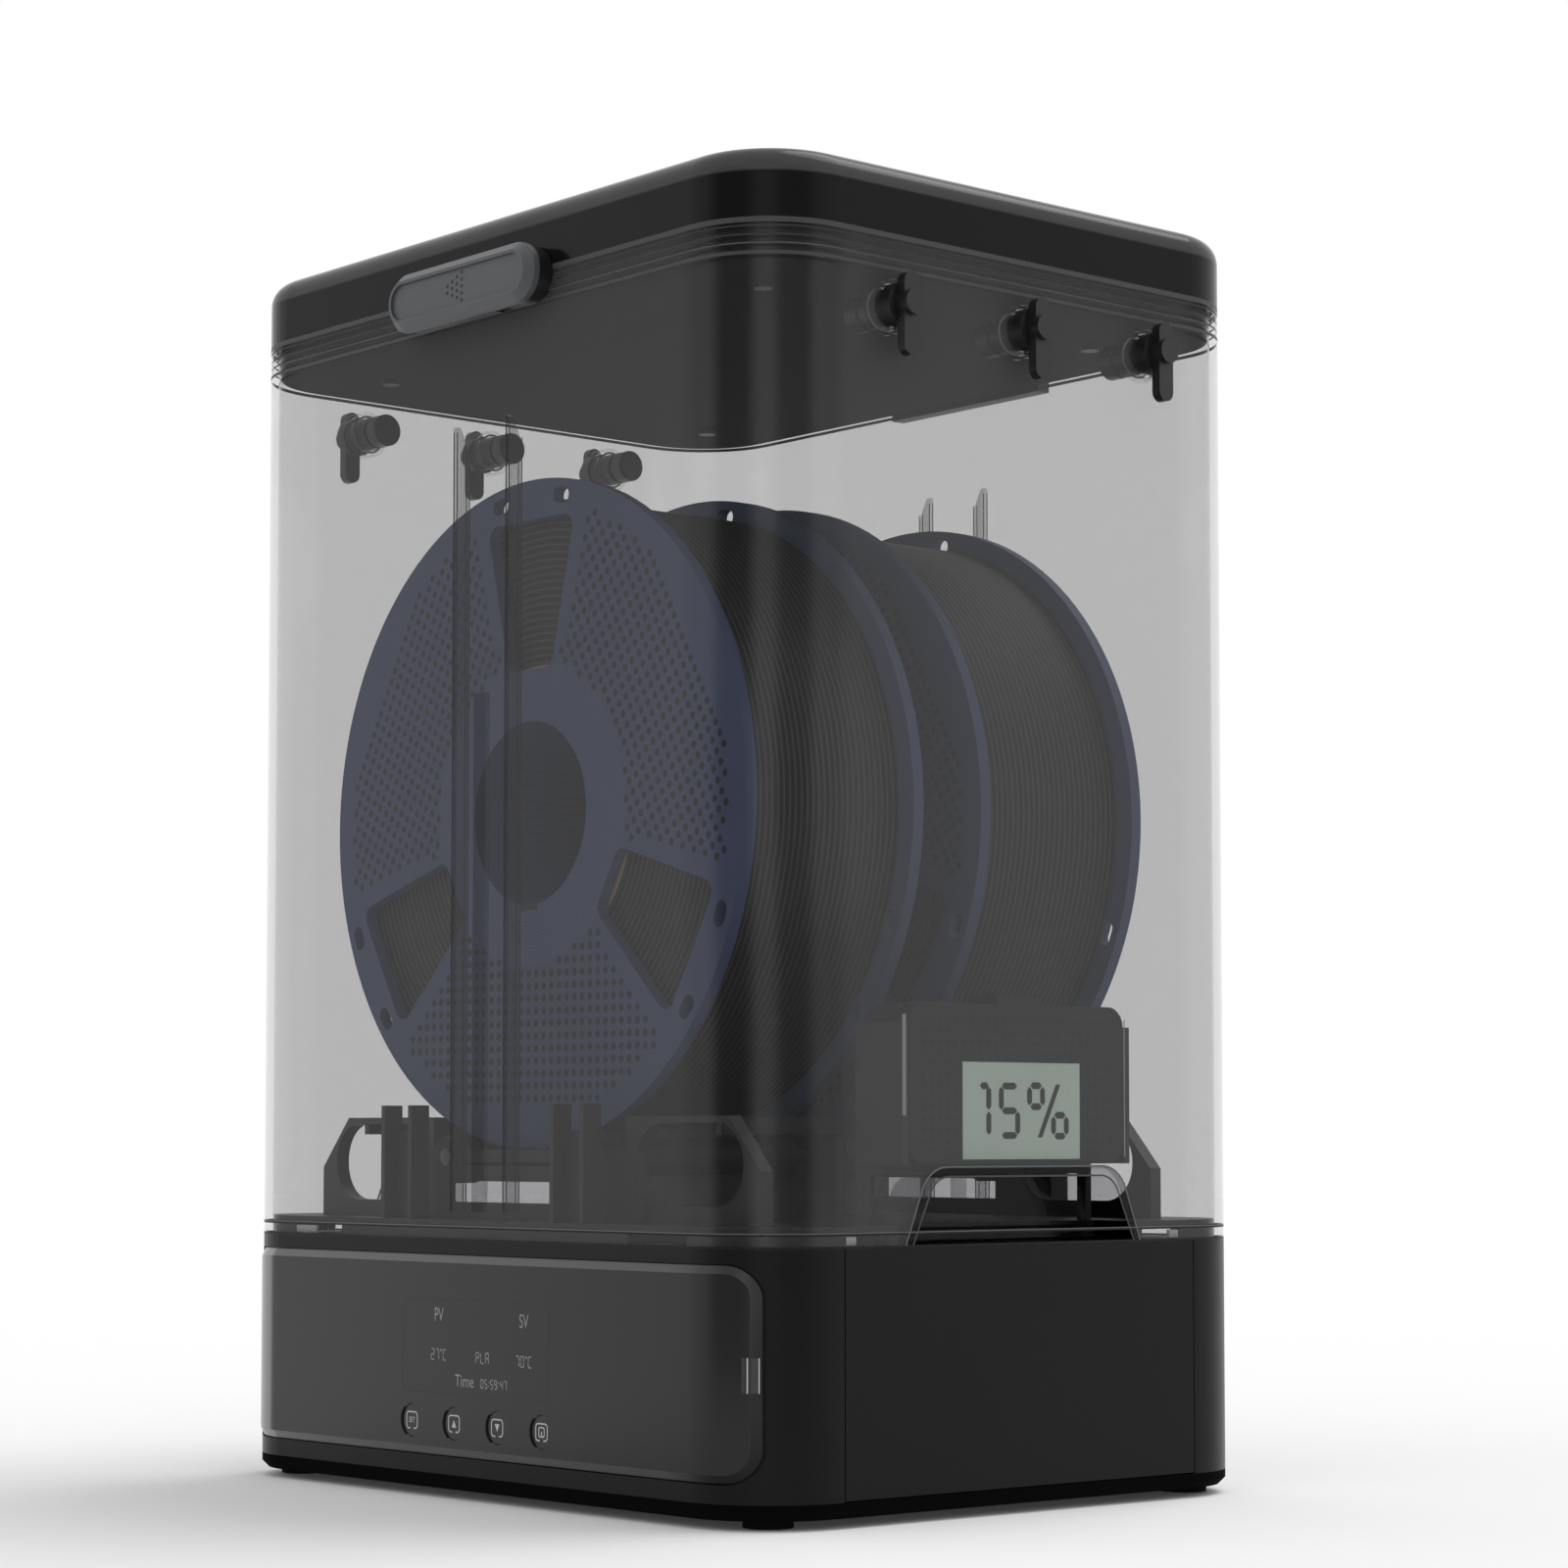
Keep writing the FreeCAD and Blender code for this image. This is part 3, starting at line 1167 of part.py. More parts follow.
def make_lid():
    """Lid shell, the liner plate that closes the chamber's mouth, its lipped seal and screws."""
    shell = case_slab("0", RIM, LID_TOP)
    soften(shell, "Fillet", edges_at(shell, value("lid_height")), "lid_edge")
    inside_top = f"{LID_TOP} - lid_wall"
    hollow = case_slab("lid_wall", RIM, inside_top)
    bosses = []
    pilots = []
    holes = []
    screws = []
    for place in lid_screw_places():
        tip = f"{LINER_BOTTOM} + screw_length"
        bosses.append(rod("z", "lid_boss_radius", place, (LINER_TOP, f"{LID_TOP} - lid_wall / 2")))
        pilots.append(rod("z", "screw_radius + screw_gap", place, (LINER_TOP, f"{tip} + screw_gap")))
        holes.append(rod("z", "screw_radius + screw_gap", place, (LINER_BOTTOM, LINER_TOP)))
        screws.append(screw(*place, f"{LINER_BOTTOM} - screw_head_height", tip))
    node("lid_shell", cut(fuse(cut(shell, hollow), *bosses), *pilots))
    plate_inset = "chamber_wall + liner_gap"
    skirt_inset = "(chamber_wall + liner_skirt_inset)"
    plate = case_slab(plate_inset, LINER_BOTTOM, LINER_TOP)
    skirt = case_ring(skirt_inset, f"{skirt_inset} + liner_skirt", LINER_TOP, inside_top)
    node("lid_liner", cut(fuse(plate, skirt), *holes))
    root = case_ring("chamber_wall + seal_root", f"{skirt_inset} - seal_gap",
                     LINER_TOP, f"{RIM} - seal_top_gap")
    lips = []
    for step in range(3):
        low = f"{RIM} - groove_drop - {step} * groove_pitch - seal_lip / 2"
        lips.append(case_ring("chamber_wall + seal_clear", "chamber_wall + seal_root + seal_lip",
                              low, f"{low} + seal_lip"))
    node("lid_seal", fuse(root, *lips))
    node("lid_screws", group(*screws))


def make_hinge():
    """Rear hinge: bracket on the chamber, leaf on the lid and the pin through both."""
    centre = (HINGE_Y, RIM)
    half = "hinge_length / 2"
    inner = "leaf_length / 2 + leaf_gap"
    foot = f"{RIM} - bracket_drop"
    pieces = [box((f"-{half}", half), (FRONT, HINGE_Y), (foot, f"{RIM} - hinge_radius - leaf_gap"))]
    bores = []
    for sign in SIGNS:
        pieces.append(rod("x", "hinge_radius", centre, mirrored(sign, inner, half)))
        pieces.append(box(mirrored(sign, inner, half), (FRONT, HINGE_Y), (foot, RIM)))
        bores.append(rod("x", "hinge_pin_radius + pin_seat_gap", centre, mirrored(sign, inner, half)))
    node("hinge_bracket", cut(fuse(*pieces), *bores))
    node("hinge_pin", rod("x", "hinge_pin_radius", centre, (f"-{half}", half)))
    reach = ("-leaf_length / 2", "leaf_length / 2")
    knuckle = rod("x", "hinge_radius", centre, reach)
    web = box(reach, (FRONT, f"{FRONT} + leaf_depth"), (f"{RIM} + leaf_gap", f"{RIM} + leaf_rise"))
    node("lid_hinge_leaf", cut(fuse(knuckle, web), rod("x", "hinge_pin_radius + hinge_gap", centre, reach)))


def make_latch():
    """Slide latch on the lid's front: fixed track and thumb slider with a toe for the keeper."""
    place = ("latch_offset", LATCH_Z)
    face = f"({FRONT} + latch_projection)"
    slider_back = f"({face} - latch_thickness)"
    track_face = f"({slider_back} - latch_gap)"
    cavity_face = f"({track_face} - track_front)"
    track_back = f"({FRONT} + latch_gap)"

    def across(low, high):
        return (f"latch_offset + ({low})", f"latch_offset + ({high})")

    def upright(low, high):
        return (f"{LATCH_Z} + ({low})", f"{LATCH_Z} + ({high})")

    block = slab("latch_width - 2 * track_inset", "latch_height - 2 * track_inset",
                 "latch_corner - track_inset", "xz", (f"-{track_face}", f"-{track_back}"), place)
    seat = box(around("latch_offset", "seat_length / 2"), (f"-{track_back}", f"-{FRONT}"),
               (f"{RIM} + latch_gap", f"{LATCH_Z} + latch_height / 2 - 2 * track_inset"))
    head_half = "head_height / 2"
    cavity = box(across("-head_length / 2 - latch_gap", "head_length / 2 + latch_travel + latch_gap"),
                 (f"-{cavity_face}", f"-{FRONT}"), around(LATCH_Z, f"{head_half} + latch_gap"))
    slot = box(across("-stem_length / 2 - latch_gap", "stem_length / 2 + latch_travel + latch_gap"),
               (f"-{track_face}", f"-{cavity_face}"), around(LATCH_Z, "stem_height / 2 + latch_gap"))
    channel = box(across("head_length / 2", "head_length / 2 + keeper_length + 2 * latch_gap"),
                  (f"-{cavity_face}", f"-{FRONT}"), upright("-latch_height", head_half))
    node("latch_track", cut(fuse(block, seat), cavity, slot, channel))
    body = slab("latch_width", "latch_height", "latch_corner", "xz", (f"-{face}", f"-{slider_back}"), place)
    soften(body, "Chamfer", edges_at(body, value("latch_thickness")), "latch_bevel")
    dish = slab("latch_width - 2 * latch_dish_inset", "latch_height - 2 * latch_dish_inset",
                "latch_corner - latch_dish_inset", "xz", (f"-{face}", f"-({face} - latch_dish_depth)"), place)
    head_depth = (f"-({cavity_face} - latch_gap)", f"-({track_back} + latch_gap)")
    stem = box(around("latch_offset", "stem_length / 2"), (f"-{slider_back}", head_depth[0]),
               around(LATCH_Z, "stem_height / 2"))
    head = box(across("-head_length / 2", "head_length / 2 - toe_length"), head_depth,
               around(LATCH_Z, head_half))
    toe = box(across("head_length / 2 - toe_length", "head_length / 2"), head_depth,
              upright(f"-{head_half}", f"-{head_half} + toe_height"))
    node("latch_slider", fuse(cut(body, dish), stem, head, toe))


def check_document():
    """Stop if any feature failed or any sub-part is empty or broken."""
    doc.recompute()
    for item in doc.Objects:
        if "Invalid" in item.State or "Error" in item.State:
            raise RuntimeError(f"{item.Name} ({item.Label}) did not build: {item.State}")
    for item in nodes:
        if item.Shape.isNull() or not item.Shape.isValid() or not item.Shape.Solids:
            raise RuntimeError(f"{item.Label} has no sound solid")


def write_parts():
    """Write each sub-part to its own file."""
    os.makedirs("parts", exist_ok=True)
    for item in nodes:
        item.Shape.exportStep(f"parts/{item.Label}.step")


fill_sheet()
make_plinth()
make_base_shell()
make_side_panels()
make_front_panel()
make_controls()
make_power()
make_fan()
make_heater()
make_deck()
make_chamber()
make_ribs()
make_finger_cups()
make_outlets()
make_cradle()
make_rollers()
make_spools()
make_hygrometer()
make_lid()
make_hinge()
make_latch()
check_document()
write_parts()
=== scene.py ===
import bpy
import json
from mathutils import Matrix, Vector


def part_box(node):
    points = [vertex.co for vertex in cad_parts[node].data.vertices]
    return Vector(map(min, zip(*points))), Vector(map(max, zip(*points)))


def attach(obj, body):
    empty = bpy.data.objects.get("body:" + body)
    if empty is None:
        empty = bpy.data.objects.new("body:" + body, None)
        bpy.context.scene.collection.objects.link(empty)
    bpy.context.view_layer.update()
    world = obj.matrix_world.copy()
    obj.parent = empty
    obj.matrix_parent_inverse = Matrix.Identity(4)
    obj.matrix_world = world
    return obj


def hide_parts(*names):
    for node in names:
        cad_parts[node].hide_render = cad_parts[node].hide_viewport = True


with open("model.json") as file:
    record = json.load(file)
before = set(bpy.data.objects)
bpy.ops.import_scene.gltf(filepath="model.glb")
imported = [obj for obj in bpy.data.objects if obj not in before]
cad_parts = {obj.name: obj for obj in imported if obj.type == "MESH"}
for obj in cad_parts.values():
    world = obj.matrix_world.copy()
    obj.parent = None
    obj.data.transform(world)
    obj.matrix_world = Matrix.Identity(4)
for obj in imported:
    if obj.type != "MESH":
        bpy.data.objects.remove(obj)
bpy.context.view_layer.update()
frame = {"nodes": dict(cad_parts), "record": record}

import json
from math import asin, atan2, cos, degrees, hypot, pi, radians, sin

import bmesh
import bpy
from bpy.props import FloatProperty, FloatVectorProperty, PointerProperty
from mathutils import Matrix, Vector

bl_info = {
    "name": "Filament dryer box",
    "version": (1, 0, 0),
    "blender": (4, 5, 0),
    "location": "View3D > Sidebar > Dryer",
    "description": "Finishes, lettering and fine detail of a two-spool filament dryer box",
    "category": "Object",
}

MM = 0.001
CASE_CORNER = 29 * MM
CASE_DEPTH = 200 * MM
CASE_WIDTH = 260 * MM
PANEL_MIDDLE = 42 * MM
BUTTONS = ("set", "up", "down", "lock")
SMOOTH = {"interpolation_type": "SMOOTHSTEP"}


def size(label, note, default):
    """Length property, given in millimetres."""
    return FloatProperty(name=label, description=note, default=default * MM, unit="LENGTH", precision=5)


def colour(label, note, default):
    """Colour property."""
    return FloatVectorProperty(name=label, description=note, default=default, subtype="COLOR", size=3, min=0, max=1)


class DryerSizes(bpy.types.PropertyGroup):
    """Sizes of the fine detail."""

    mark: size("Mark thickness", "How far printed marks stand off the face below", 0.04)
    bevel: size("Panel bevel", "Width of the front panel's bevelled edge", 2.3)
    bevel_drop: size("Panel bevel drop", "How far the bevelled edge falls back", 1.0)
    letter: size("Display letter", "Height of the display's letters", 4.0)
    icon: size("Button icon", "Width of the frame on a button", 5.8)
    icon_line: size("Button icon line", "Line width of the frame on a button", 0.4)
    dot: size("Spool dot", "Radius of the dimples on a spool flange", 1.12)
    dot_pitch: size("Spool dot pitch", "Spacing of the dimples on a spool flange", 3.7)
    turn: size("Filament turn", "Spacing of the turns of wound filament", 2.2)


class DryerColours(bpy.types.PropertyGroup):
    """Colours of the finishes."""

    case: colour("Case", "Base shell and side panels", (0.0056, 0.0056, 0.006))
    lid: colour("Lid", "Lid shell", (0.0056, 0.0056, 0.006))
    panel: colour("Front panel", "Smoked front panel", (0.026, 0.026, 0.0265))
    button: colour("Buttons", "Button caps", (0.0095, 0.0095, 0.01))
    inner: colour("Cradle", "Cradle, posts and hygrometer case", (0.028, 0.028, 0.0285))
    spool: colour("Spool", "Spool halves", (0.066, 0.083, 0.162))
    filament: colour("Filament", "Wound filament", (0.012, 0.012, 0.0125))
    latch: colour("Latch", "Latch slider", (0.076, 0.079, 0.087))
    rubber: colour("Rubber", "Plugs, feet and seals", (0.006, 0.006, 0.0063))
    screen: colour("Hygrometer screen", "Liquid-crystal screen", (0.6, 0.715, 0.63))
    segment: colour("Hygrometer digits", "Dark segments on the screen", (0.03, 0.034, 0.032))
    letters: colour("Display letters", "Letters and digits of the display", (0.235, 0.235, 0.235))
    icons: colour("Button icons", "Marks on the buttons", (0.45, 0.45, 0.45))
    smoke: colour("Chamber tint", "What one face of the clear wall lets through", (0.84, 0.84, 0.84))


class Socket:
    """Output of a shader node that plain arithmetic works on."""

    def __init__(self, graph, socket):
        self.graph = graph
        self.socket = socket

    def math(self, operation, first, second):
        return self.graph.node("ShaderNodeMath", {"operation": operation}, {0: first, 1: second})

    def __add__(self, other):
        return self.math("ADD", self, other)

    def __radd__(self, other):
        return self.math("ADD", other, self)

    def __sub__(self, other):
        return self.math("SUBTRACT", self, other)

    def __rsub__(self, other):
        return self.math("SUBTRACT", other, self)

    def __mul__(self, other):
        return self.math("MULTIPLY", self, other)

    def __rmul__(self, other):
        return self.math("MULTIPLY", other, self)

    def __truediv__(self, other):
        return self.math("DIVIDE", self, other)

    def __pow__(self, other):
        return self.math("POWER", self, other)

    def __lt__(self, other):
        return self.math("LESS_THAN", self, other)

    def __gt__(self, other):
        return self.math("GREATER_THAN", self, other)


class Graph:
    """Shader graph of one new material."""

    def __init__(self, name):
        self.material = bpy.data.materials.new(name)
        self.material.use_nodes = True
        self.tree = self.material.node_tree
        self.tree.nodes.clear()

    def node(self, kind, settings=None, sockets=None, output=0):
        """Any shader node: its settings first, then its sockets."""
        item = self.tree.nodes.new(kind)
        for key, setting in (settings or {}).items():
            setattr(item, key, setting)
        for key, source in (sockets or {}).items():
            if isinstance(source, Socket):
                self.tree.links.new(source.socket, item.inputs[key])
            else:
                item.inputs[key].default_value = source
        return Socket(self, item.outputs[output])

    def place(self, centre=(0, 0, 0)):
        """Object coordinates counted from a centre, in metres."""
        start = self.node("ShaderNodeTexCoord", output=3)
        back = tuple(-part for part in centre)
        return self.node("ShaderNodeMapping", {}, {"Vector": start, "Location": back})

    def axes(self, centre=(0, 0, 0)):
        """The three coordinates counted from a centre."""
        split = self.node("ShaderNodeSeparateXYZ", {}, {"Vector": self.place(centre)})
        outputs = split.socket.node.outputs
        return [Socket(self, output) for output in outputs]

    def noise(self, pitch, detail=2.0):
        """Even noise from 0 to 1 with features of about a given size, in metres."""
        return self.node("ShaderNodeTexNoise", {}, {"Vector": self.place(), "Scale": 1 / pitch, "Detail": detail})

    def bump(self, height, depth, strength=1.0):
        """Normal of a surface raised by a height of 0 to 1 times a depth."""
        return self.node("ShaderNodeBump", {}, {"Height": height, "Distance": depth, "Strength": strength})

    def tint(self, factor, low, high):
        """Colour between two colours."""
        mix = self.tree.nodes.new("ShaderNodeMix")
        mix.data_type = "RGBA"
        colours = [socket for socket in mix.inputs if socket.type == "RGBA"]
        colours[0].default_value = (*low, 1)
        colours[1].default_value = (*high, 1)
        self.tree.links.new(factor.socket, mix.inputs[0])
        output = next(socket for socket in mix.outputs if socket.type == "RGBA")
        return Socket(self, output)

    def principled(self, **sockets):
        """Principled shader, with underscores for the spaces in the names of its sockets."""
        named = {key.replace("_", " "): source for key, source in sockets.items()}
        return self.node("ShaderNodeBsdfPrincipled", {}, named)

    def finish(self, shader):
        """Close the graph and give back its material."""
        output = self.tree.nodes.new("ShaderNodeOutputMaterial")
        self.tree.links.new(shader.socket, output.inputs["Surface"])
        return self.material


def moulded(name, base, roughness, shine=0.5, grain=0.35, depth=0.03):
    """Moulded plastic or rubber with a fine grain, a little cloudiness and small changes of gloss."""
    graph = Graph(name)
    fine = graph.noise(grain * MM, 3.0)
    broad = graph.noise(35 * MM)
    low = tuple(part * 0.88 for part in base)
    high = tuple(min(1.0, part * 1.12) for part in base)
    return graph.finish(graph.principled(
        Base_Color=graph.tint(broad, low, high),
        Roughness=roughness + (fine - 0.5) * 0.12 + (broad - 0.5) * 0.06,
        Specular_IOR_Level=shine,
        Normal=graph.bump(fine, depth * MM),
    ))


def gloss_with_painted_sheen(name, base, painted_sheen, start, end):
    """Gloss plastic with a painted sheen: a paler colour that stands in for the highlight on its rounded top edge,
    between two heights in metres.
    """
    graph = Graph(name)
    z = graph.axes()[2]
    below = graph.node("ShaderNodeMapRange", SMOOTH, {"Value": z, "From Min": start, "From Max": start + 0.9 * MM})
    above = graph.node("ShaderNodeMapRange", SMOOTH, {"Value": z, "From Min": end, "From Max": end - 1.2 * MM})
    broad = graph.noise(35 * MM)
    fine = graph.noise(0.5 * MM)
    return graph.finish(graph.principled(
        # Painted highlight: the colour turns paler between the two heights.
        Base_Color=graph.tint(below * above * (broad * 0.3 + 0.7), base, painted_sheen),
        Roughness=0.14 + (fine - 0.5) * 0.06,
        Specular_IOR_Level=0.12,
        Normal=graph.bump(fine, 0.003 * MM),
    ))


def smoked(name, base, start, end, ends=1.0, rise=0.0):
    """Smoked panel gloss with painted light in its colour: painted shade darkens it round its right end and from left
    to right, and a painted highlight lights it up where it is seen at a slant.

    The rise is how much lighter the painted light makes it towards the top, for each metre from the middle of the
    panel.
    """
    graph = Graph(name)
    x, _, z = graph.axes((0, 0, PANEL_MIDDLE))
    # Painted shade: darker towards the right end, between the two distances across.
    right = graph.node("ShaderNodeMapRange", SMOOTH, {"Value": x, "From Min": start, "From Max": end})
    # Painted highlight: lighter where the panel is seen at a slant.
    facing = graph.node("ShaderNodeLayerWeight", {}, {"Blend": 0.5}, output=1)
    slant = graph.node("ShaderNodeMapRange", SMOOTH, {"Value": facing, "From Min": 0.51, "From Max": 0.59})
    # Painted shade from left to right and, with the rise, a painted lighter top.
    painted_light_level = 0.5 - right * (0.06 * ends) - x * 1.2 + z * rise
    broad = graph.noise(2 * MM)
    bright = tuple(part * 10 for part in base)
    return graph.finish(graph.principled(
        Base_Color=graph.tint(painted_light_level * 0.2 + slant * 0.7 / ends, (0, 0, 0), bright),
        Roughness=0.14 + (broad - 0.5) * 0.04,
        Specular_IOR_Level=0.25,
        Normal=graph.bump(broad, 0.003 * MM),
    ))


def metal(name, base, roughness):
    """Bare metal with fine drawn lines."""
    graph = Graph(name)
    lines = graph.noise(0.25 * MM)
    return graph.finish(graph.principled(
        Base_Color=(*base, 1),
        Metallic=1.0,
        Roughness=roughness + (lines - 0.5) * 0.2,
        Normal=graph.bump(lines, 0.01 * MM),
    ))


def printed_or_painted_light(name, base, glow=0.0):
    """Printed or lit mark, and also painted highlights and painted dark lines."""
    graph = Graph(name)
    speck = graph.noise(0.4 * MM)
    low = tuple(part * 0.92 for part in base)
    return graph.finish(graph.principled(
        Base_Color=graph.tint(speck, low, base),
        Roughness=0.5 + (speck - 0.5) * 0.1,
        Specular_IOR_Level=0.2,
        Emission_Color=(*base, 1),
        Emission_Strength=glow,
    ))


def clear(name, tint, haze=0.05, gloss=0.0, corner=None):
    """Clear smoked plastic: see-through with a faint haze, and mirror gloss where it is seen at a slant.

    A corner, as two distances from the middle in metres, marks where the gloss takes over from the haze.
    """
    graph = Graph(name)
    ripple = graph.noise(60 * MM)
    normal = graph.bump(ripple, 0.12 * MM, 0.3)
    facing = graph.node("ShaderNodeLayerWeight", {}, {"Blend": 0.5, "Normal": normal}, output=1)
    slant = graph.node("ShaderNodeMapRange", {}, {"Value": facing, "From Min": 0.48, "From Max": 1.0})
    edge = gloss + (1 - gloss) * slant ** 3.0
    if corner:
        inside = 1.0
        for part, limit in zip(graph.axes(), corner):
            reach = graph.node("ShaderNodeMath", {"operation": "ABSOLUTE"}, {0: part})
            limits = {"Value": reach, "From Min": limit - 6 * MM, "From Max": limit + 2 * MM}
            inside = inside * graph.node("ShaderNodeMapRange", SMOOTH, limits)
        haze = haze * (1 - inside)
        edge = edge + inside * 0.022
    through = graph.node("ShaderNodeBsdfTransparent", {}, {"Color": (*tint, 1)})
    veil = graph.node("ShaderNodeBsdfDiffuse", {}, {"Color": (0.8, 0.8, 0.8, 1)})
    mirror = graph.node("ShaderNodeBsdfGlossy", {}, {"Color": (1, 1, 1, 1), "Roughness": 0.03, "Normal": normal})
    body = graph.node("ShaderNodeMixShader", {}, {0: haze, 1: through, 2: veil})
    return graph.finish(graph.node("ShaderNodeMixShader", {}, {0: edge, 1: body, 2: mirror}))


def wound(name, base, centre, turn):
    """Filament wound in close turns of a given width: ridges along the spool and rings on its ends, with a painted
    highlight on top of each turn and painted shade between the turns.
    """
    graph = Graph(name)
    x, y, z = graph.axes(centre)
    radius = (x * x + z * z) ** 0.5
    drift = graph.noise(25 * MM)
    phase = (radius + y) * (2 * pi / turn) + drift * 2
    ridge = graph.node("ShaderNodeMath", {"operation": "SINE"}, {0: phase}) * 0.5 + 0.5
    # Painted shade between the turns, near black, and a painted highlight on top of each turn, far lighter than the
    # filament.
    low = tuple(part * 0.05 for part in base)
    high = tuple(part * 4.8 for part in base)
    return graph.finish(graph.principled(
        Base_Color=graph.tint(ridge ** 5.0, low, high),
        Roughness=0.5 + drift * 0.1,
        Specular_IOR_Level=0.25,
        Normal=graph.bump(ridge, 0.1 * MM),
    ))


def flange(name, base, centre, rings=(27.5, 46.0)):
    """Spool plastic with turned rings round the bore and a light grain elsewhere."""
    graph = Graph(name)
    x, _, z = graph.axes(centre)
    radius = (x * x + z * z) ** 0.5
    inside = (radius > rings[0] * MM) * (radius < rings[1] * MM)
    wave = graph.node("ShaderNodeMath", {"operation": "SINE"}, {0: radius * (2 * pi / (1.1 * MM))})
    ring = inside * (wave * 0.5 + 0.5)
    fine = graph.noise(0.5 * MM)
    broad = graph.noise(30 * MM)
    low = tuple(part * 0.9 for part in base)
    high = tuple(part * 1.25 for part in base)
    return graph.finish(graph.principled(
        Base_Color=graph.tint(broad * 0.3 + ring * 0.7, low, high),
        Roughness=0.5 + (fine - 0.5) * 0.1,
        Specular_IOR_Level=0.15,
        Normal=graph.bump(ring + fine * 0.1, 0.05 * MM),
    ))


def new_piece(name, mesh_data, materials, body, replaces=(), sharp=32):
    """Finished object at the origin that rides on a body."""
    mesh = bpy.data.meshes.new(name)
    bmesh.ops.recalc_face_normals(mesh_data, faces=mesh_data.faces[:])
    mesh_data.to_mesh(mesh)
    mesh_data.free()
    for material in materials:
        mesh.materials.append(material)
    mesh.polygons.foreach_set("use_smooth", [True] * len(mesh.polygons))
    mesh.set_sharp_from_angle(angle=radians(sharp))
    piece = bpy.data.objects.new(name, mesh)
    bpy.context.scene.collection.objects.link(piece)
    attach(piece, body)
    if replaces:
        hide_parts(*replaces)
    return piece


def loop(mesh_data, points):
    """Closed ring of edges through points; gives its vertices and edges."""
    verts = [mesh_data.verts.new(point) for point in points]
    edges = []
    for index, vert in enumerate(verts):
        edges.append(mesh_data.edges.new((vert, verts[(index + 1) % len(verts)])))
    return verts, edges


def rounded(width, height, radius, steps=8, centre=(0.0, 0.0)):
    """Points round a rectangle with round corners."""
    points = []
    for quarter, (right, up) in enumerate(((1, 1), (-1, 1), (-1, -1), (1, -1))):
        middle = (centre[0] + right * (width / 2 - radius), centre[1] + up * (height / 2 - radius))
        for step in range(steps + 1):
            turn = radians(90 * quarter + 90 * step / steps)
            points.append((middle[0] + radius * cos(turn), middle[1] + radius * sin(turn)))
    return points


def circle(radius, steps, centre=(0.0, 0.0)):
    """Points round a circle."""
    turns = [2 * pi * step / steps for step in range(steps)]
    return [(centre[0] + radius * cos(turn), centre[1] + radius * sin(turn)) for turn in turns]


def filled(mesh_data, outlines, place):
    """Flat face inside the first outline and outside the others, put in space by a function."""
    edges = []
    for outline in outlines:
        edges += loop(mesh_data, [place(*point) for point in outline])[1]
    made = bmesh.ops.triangle_fill(mesh_data, use_beauty=True, use_dissolve=False, edges=edges)
    return [item for item in made["geom"] if isinstance(item, bmesh.types.BMFace)]


def on_front(depth):
    """Puts flat points on an upright plane that faces the front, at a depth."""
    return lambda across, up: (across, depth, up)


def on_right(depth):
    """Puts flat points on an upright plane that faces right, at a depth."""
    return lambda across, up: (depth, across, up)


SEGMENTS = {
    "0": "abcdef", "1": "bc", "2": "abged", "3": "abgcd", "4": "fgbc", "5": "afgcd", "6": "afgecd", "7": "abc",
    "8": "abcdefg", "9": "abcdfg", "P": "abefg", "L": "fed", "A": "abcefg", "C": "afed",
}


def bar(across, up, width, height):
    """Outline of an upright or lying bar with cut corners."""
    tip = min(width, height) / 2
    if width > height:
        half = width / 2
        return [(across - half, up), (across - half + tip, up - tip), (across + half - tip, up - tip),
                (across + half, up), (across + half - tip, up + tip), (across - half + tip, up + tip)]
    half = height / 2
    return [(across, up - half), (across + tip, up - half + tip), (across + tip, up + half - tip),
            (across, up + half), (across - tip, up + half - tip), (across - tip, up - half + tip)]


def digit(sign, across, up, width, height, line):
    """Bar outlines of one seven-segment sign, centred on a point."""
    side = width / 2 - line / 2
    rise = height / 2 - line / 2
    places = {
        "a": (0, rise, True), "g": (0, 0, True), "d": (0, -rise, True),
        "b": (side, rise / 2, False), "c": (side, -rise / 2, False),
        "e": (-side, -rise / 2, False), "f": (-side, rise / 2, False),
    }
    outlines = []
    for name in SEGMENTS[sign]:
        shift, lift, lying = places[name]
        reach = (width - line * 1.2, line) if lying else (line, rise - line * 0.2)
        outlines.append(bar(across + shift, up + lift, *reach))
    return outlines


def segment_row(text, across, up, width, height, gap, line):
    """Bar outlines of a row of seven-segment signs; a colon is two dots, ' a small ring."""
    narrow = {":": 0.35, "'": 0.42}
    widths = [width * narrow.get(sign, 1.0) for sign in text]
    start = across - (sum(widths) + gap * (len(text) - 1)) / 2
    outlines = []
    for sign, room in zip(text, widths):
        middle = start + room / 2
        if sign == ":":
            outlines += [circle(line * 0.6, 8, (middle, up + lift)) for lift in (-height / 5, height / 5)]
        elif sign == "'":
            outlines.append(circle(line * 1.1, 10, (middle, up + height / 2 - line)))
        else:
            outlines += digit(sign, middle, up, room, height, line)
        start += room + gap
    return outlines


def lettering(mesh_data, text, height, squeeze, across, up, place):
    """Plain letters, centred on a point and put in space by a function."""
    curve = bpy.data.curves.new("letters", "FONT")
    curve.body = text
    curve.align_x = "CENTER"
    curve.align_y = "CENTER"
    curve.size = height / 0.7
    item = bpy.data.objects.new("letters", curve)
    mesh = bpy.data.meshes.new_from_object(item)
    bpy.data.objects.remove(item)
    bpy.data.curves.remove(curve)
    first = len(mesh_data.verts)
    mesh_data.from_mesh(mesh)
    bpy.data.meshes.remove(mesh)
    mesh_data.verts.ensure_lookup_table()
    for vert in mesh_data.verts[first:]:
        vert.co = place(across + vert.co.x * squeeze, up + vert.co.y)


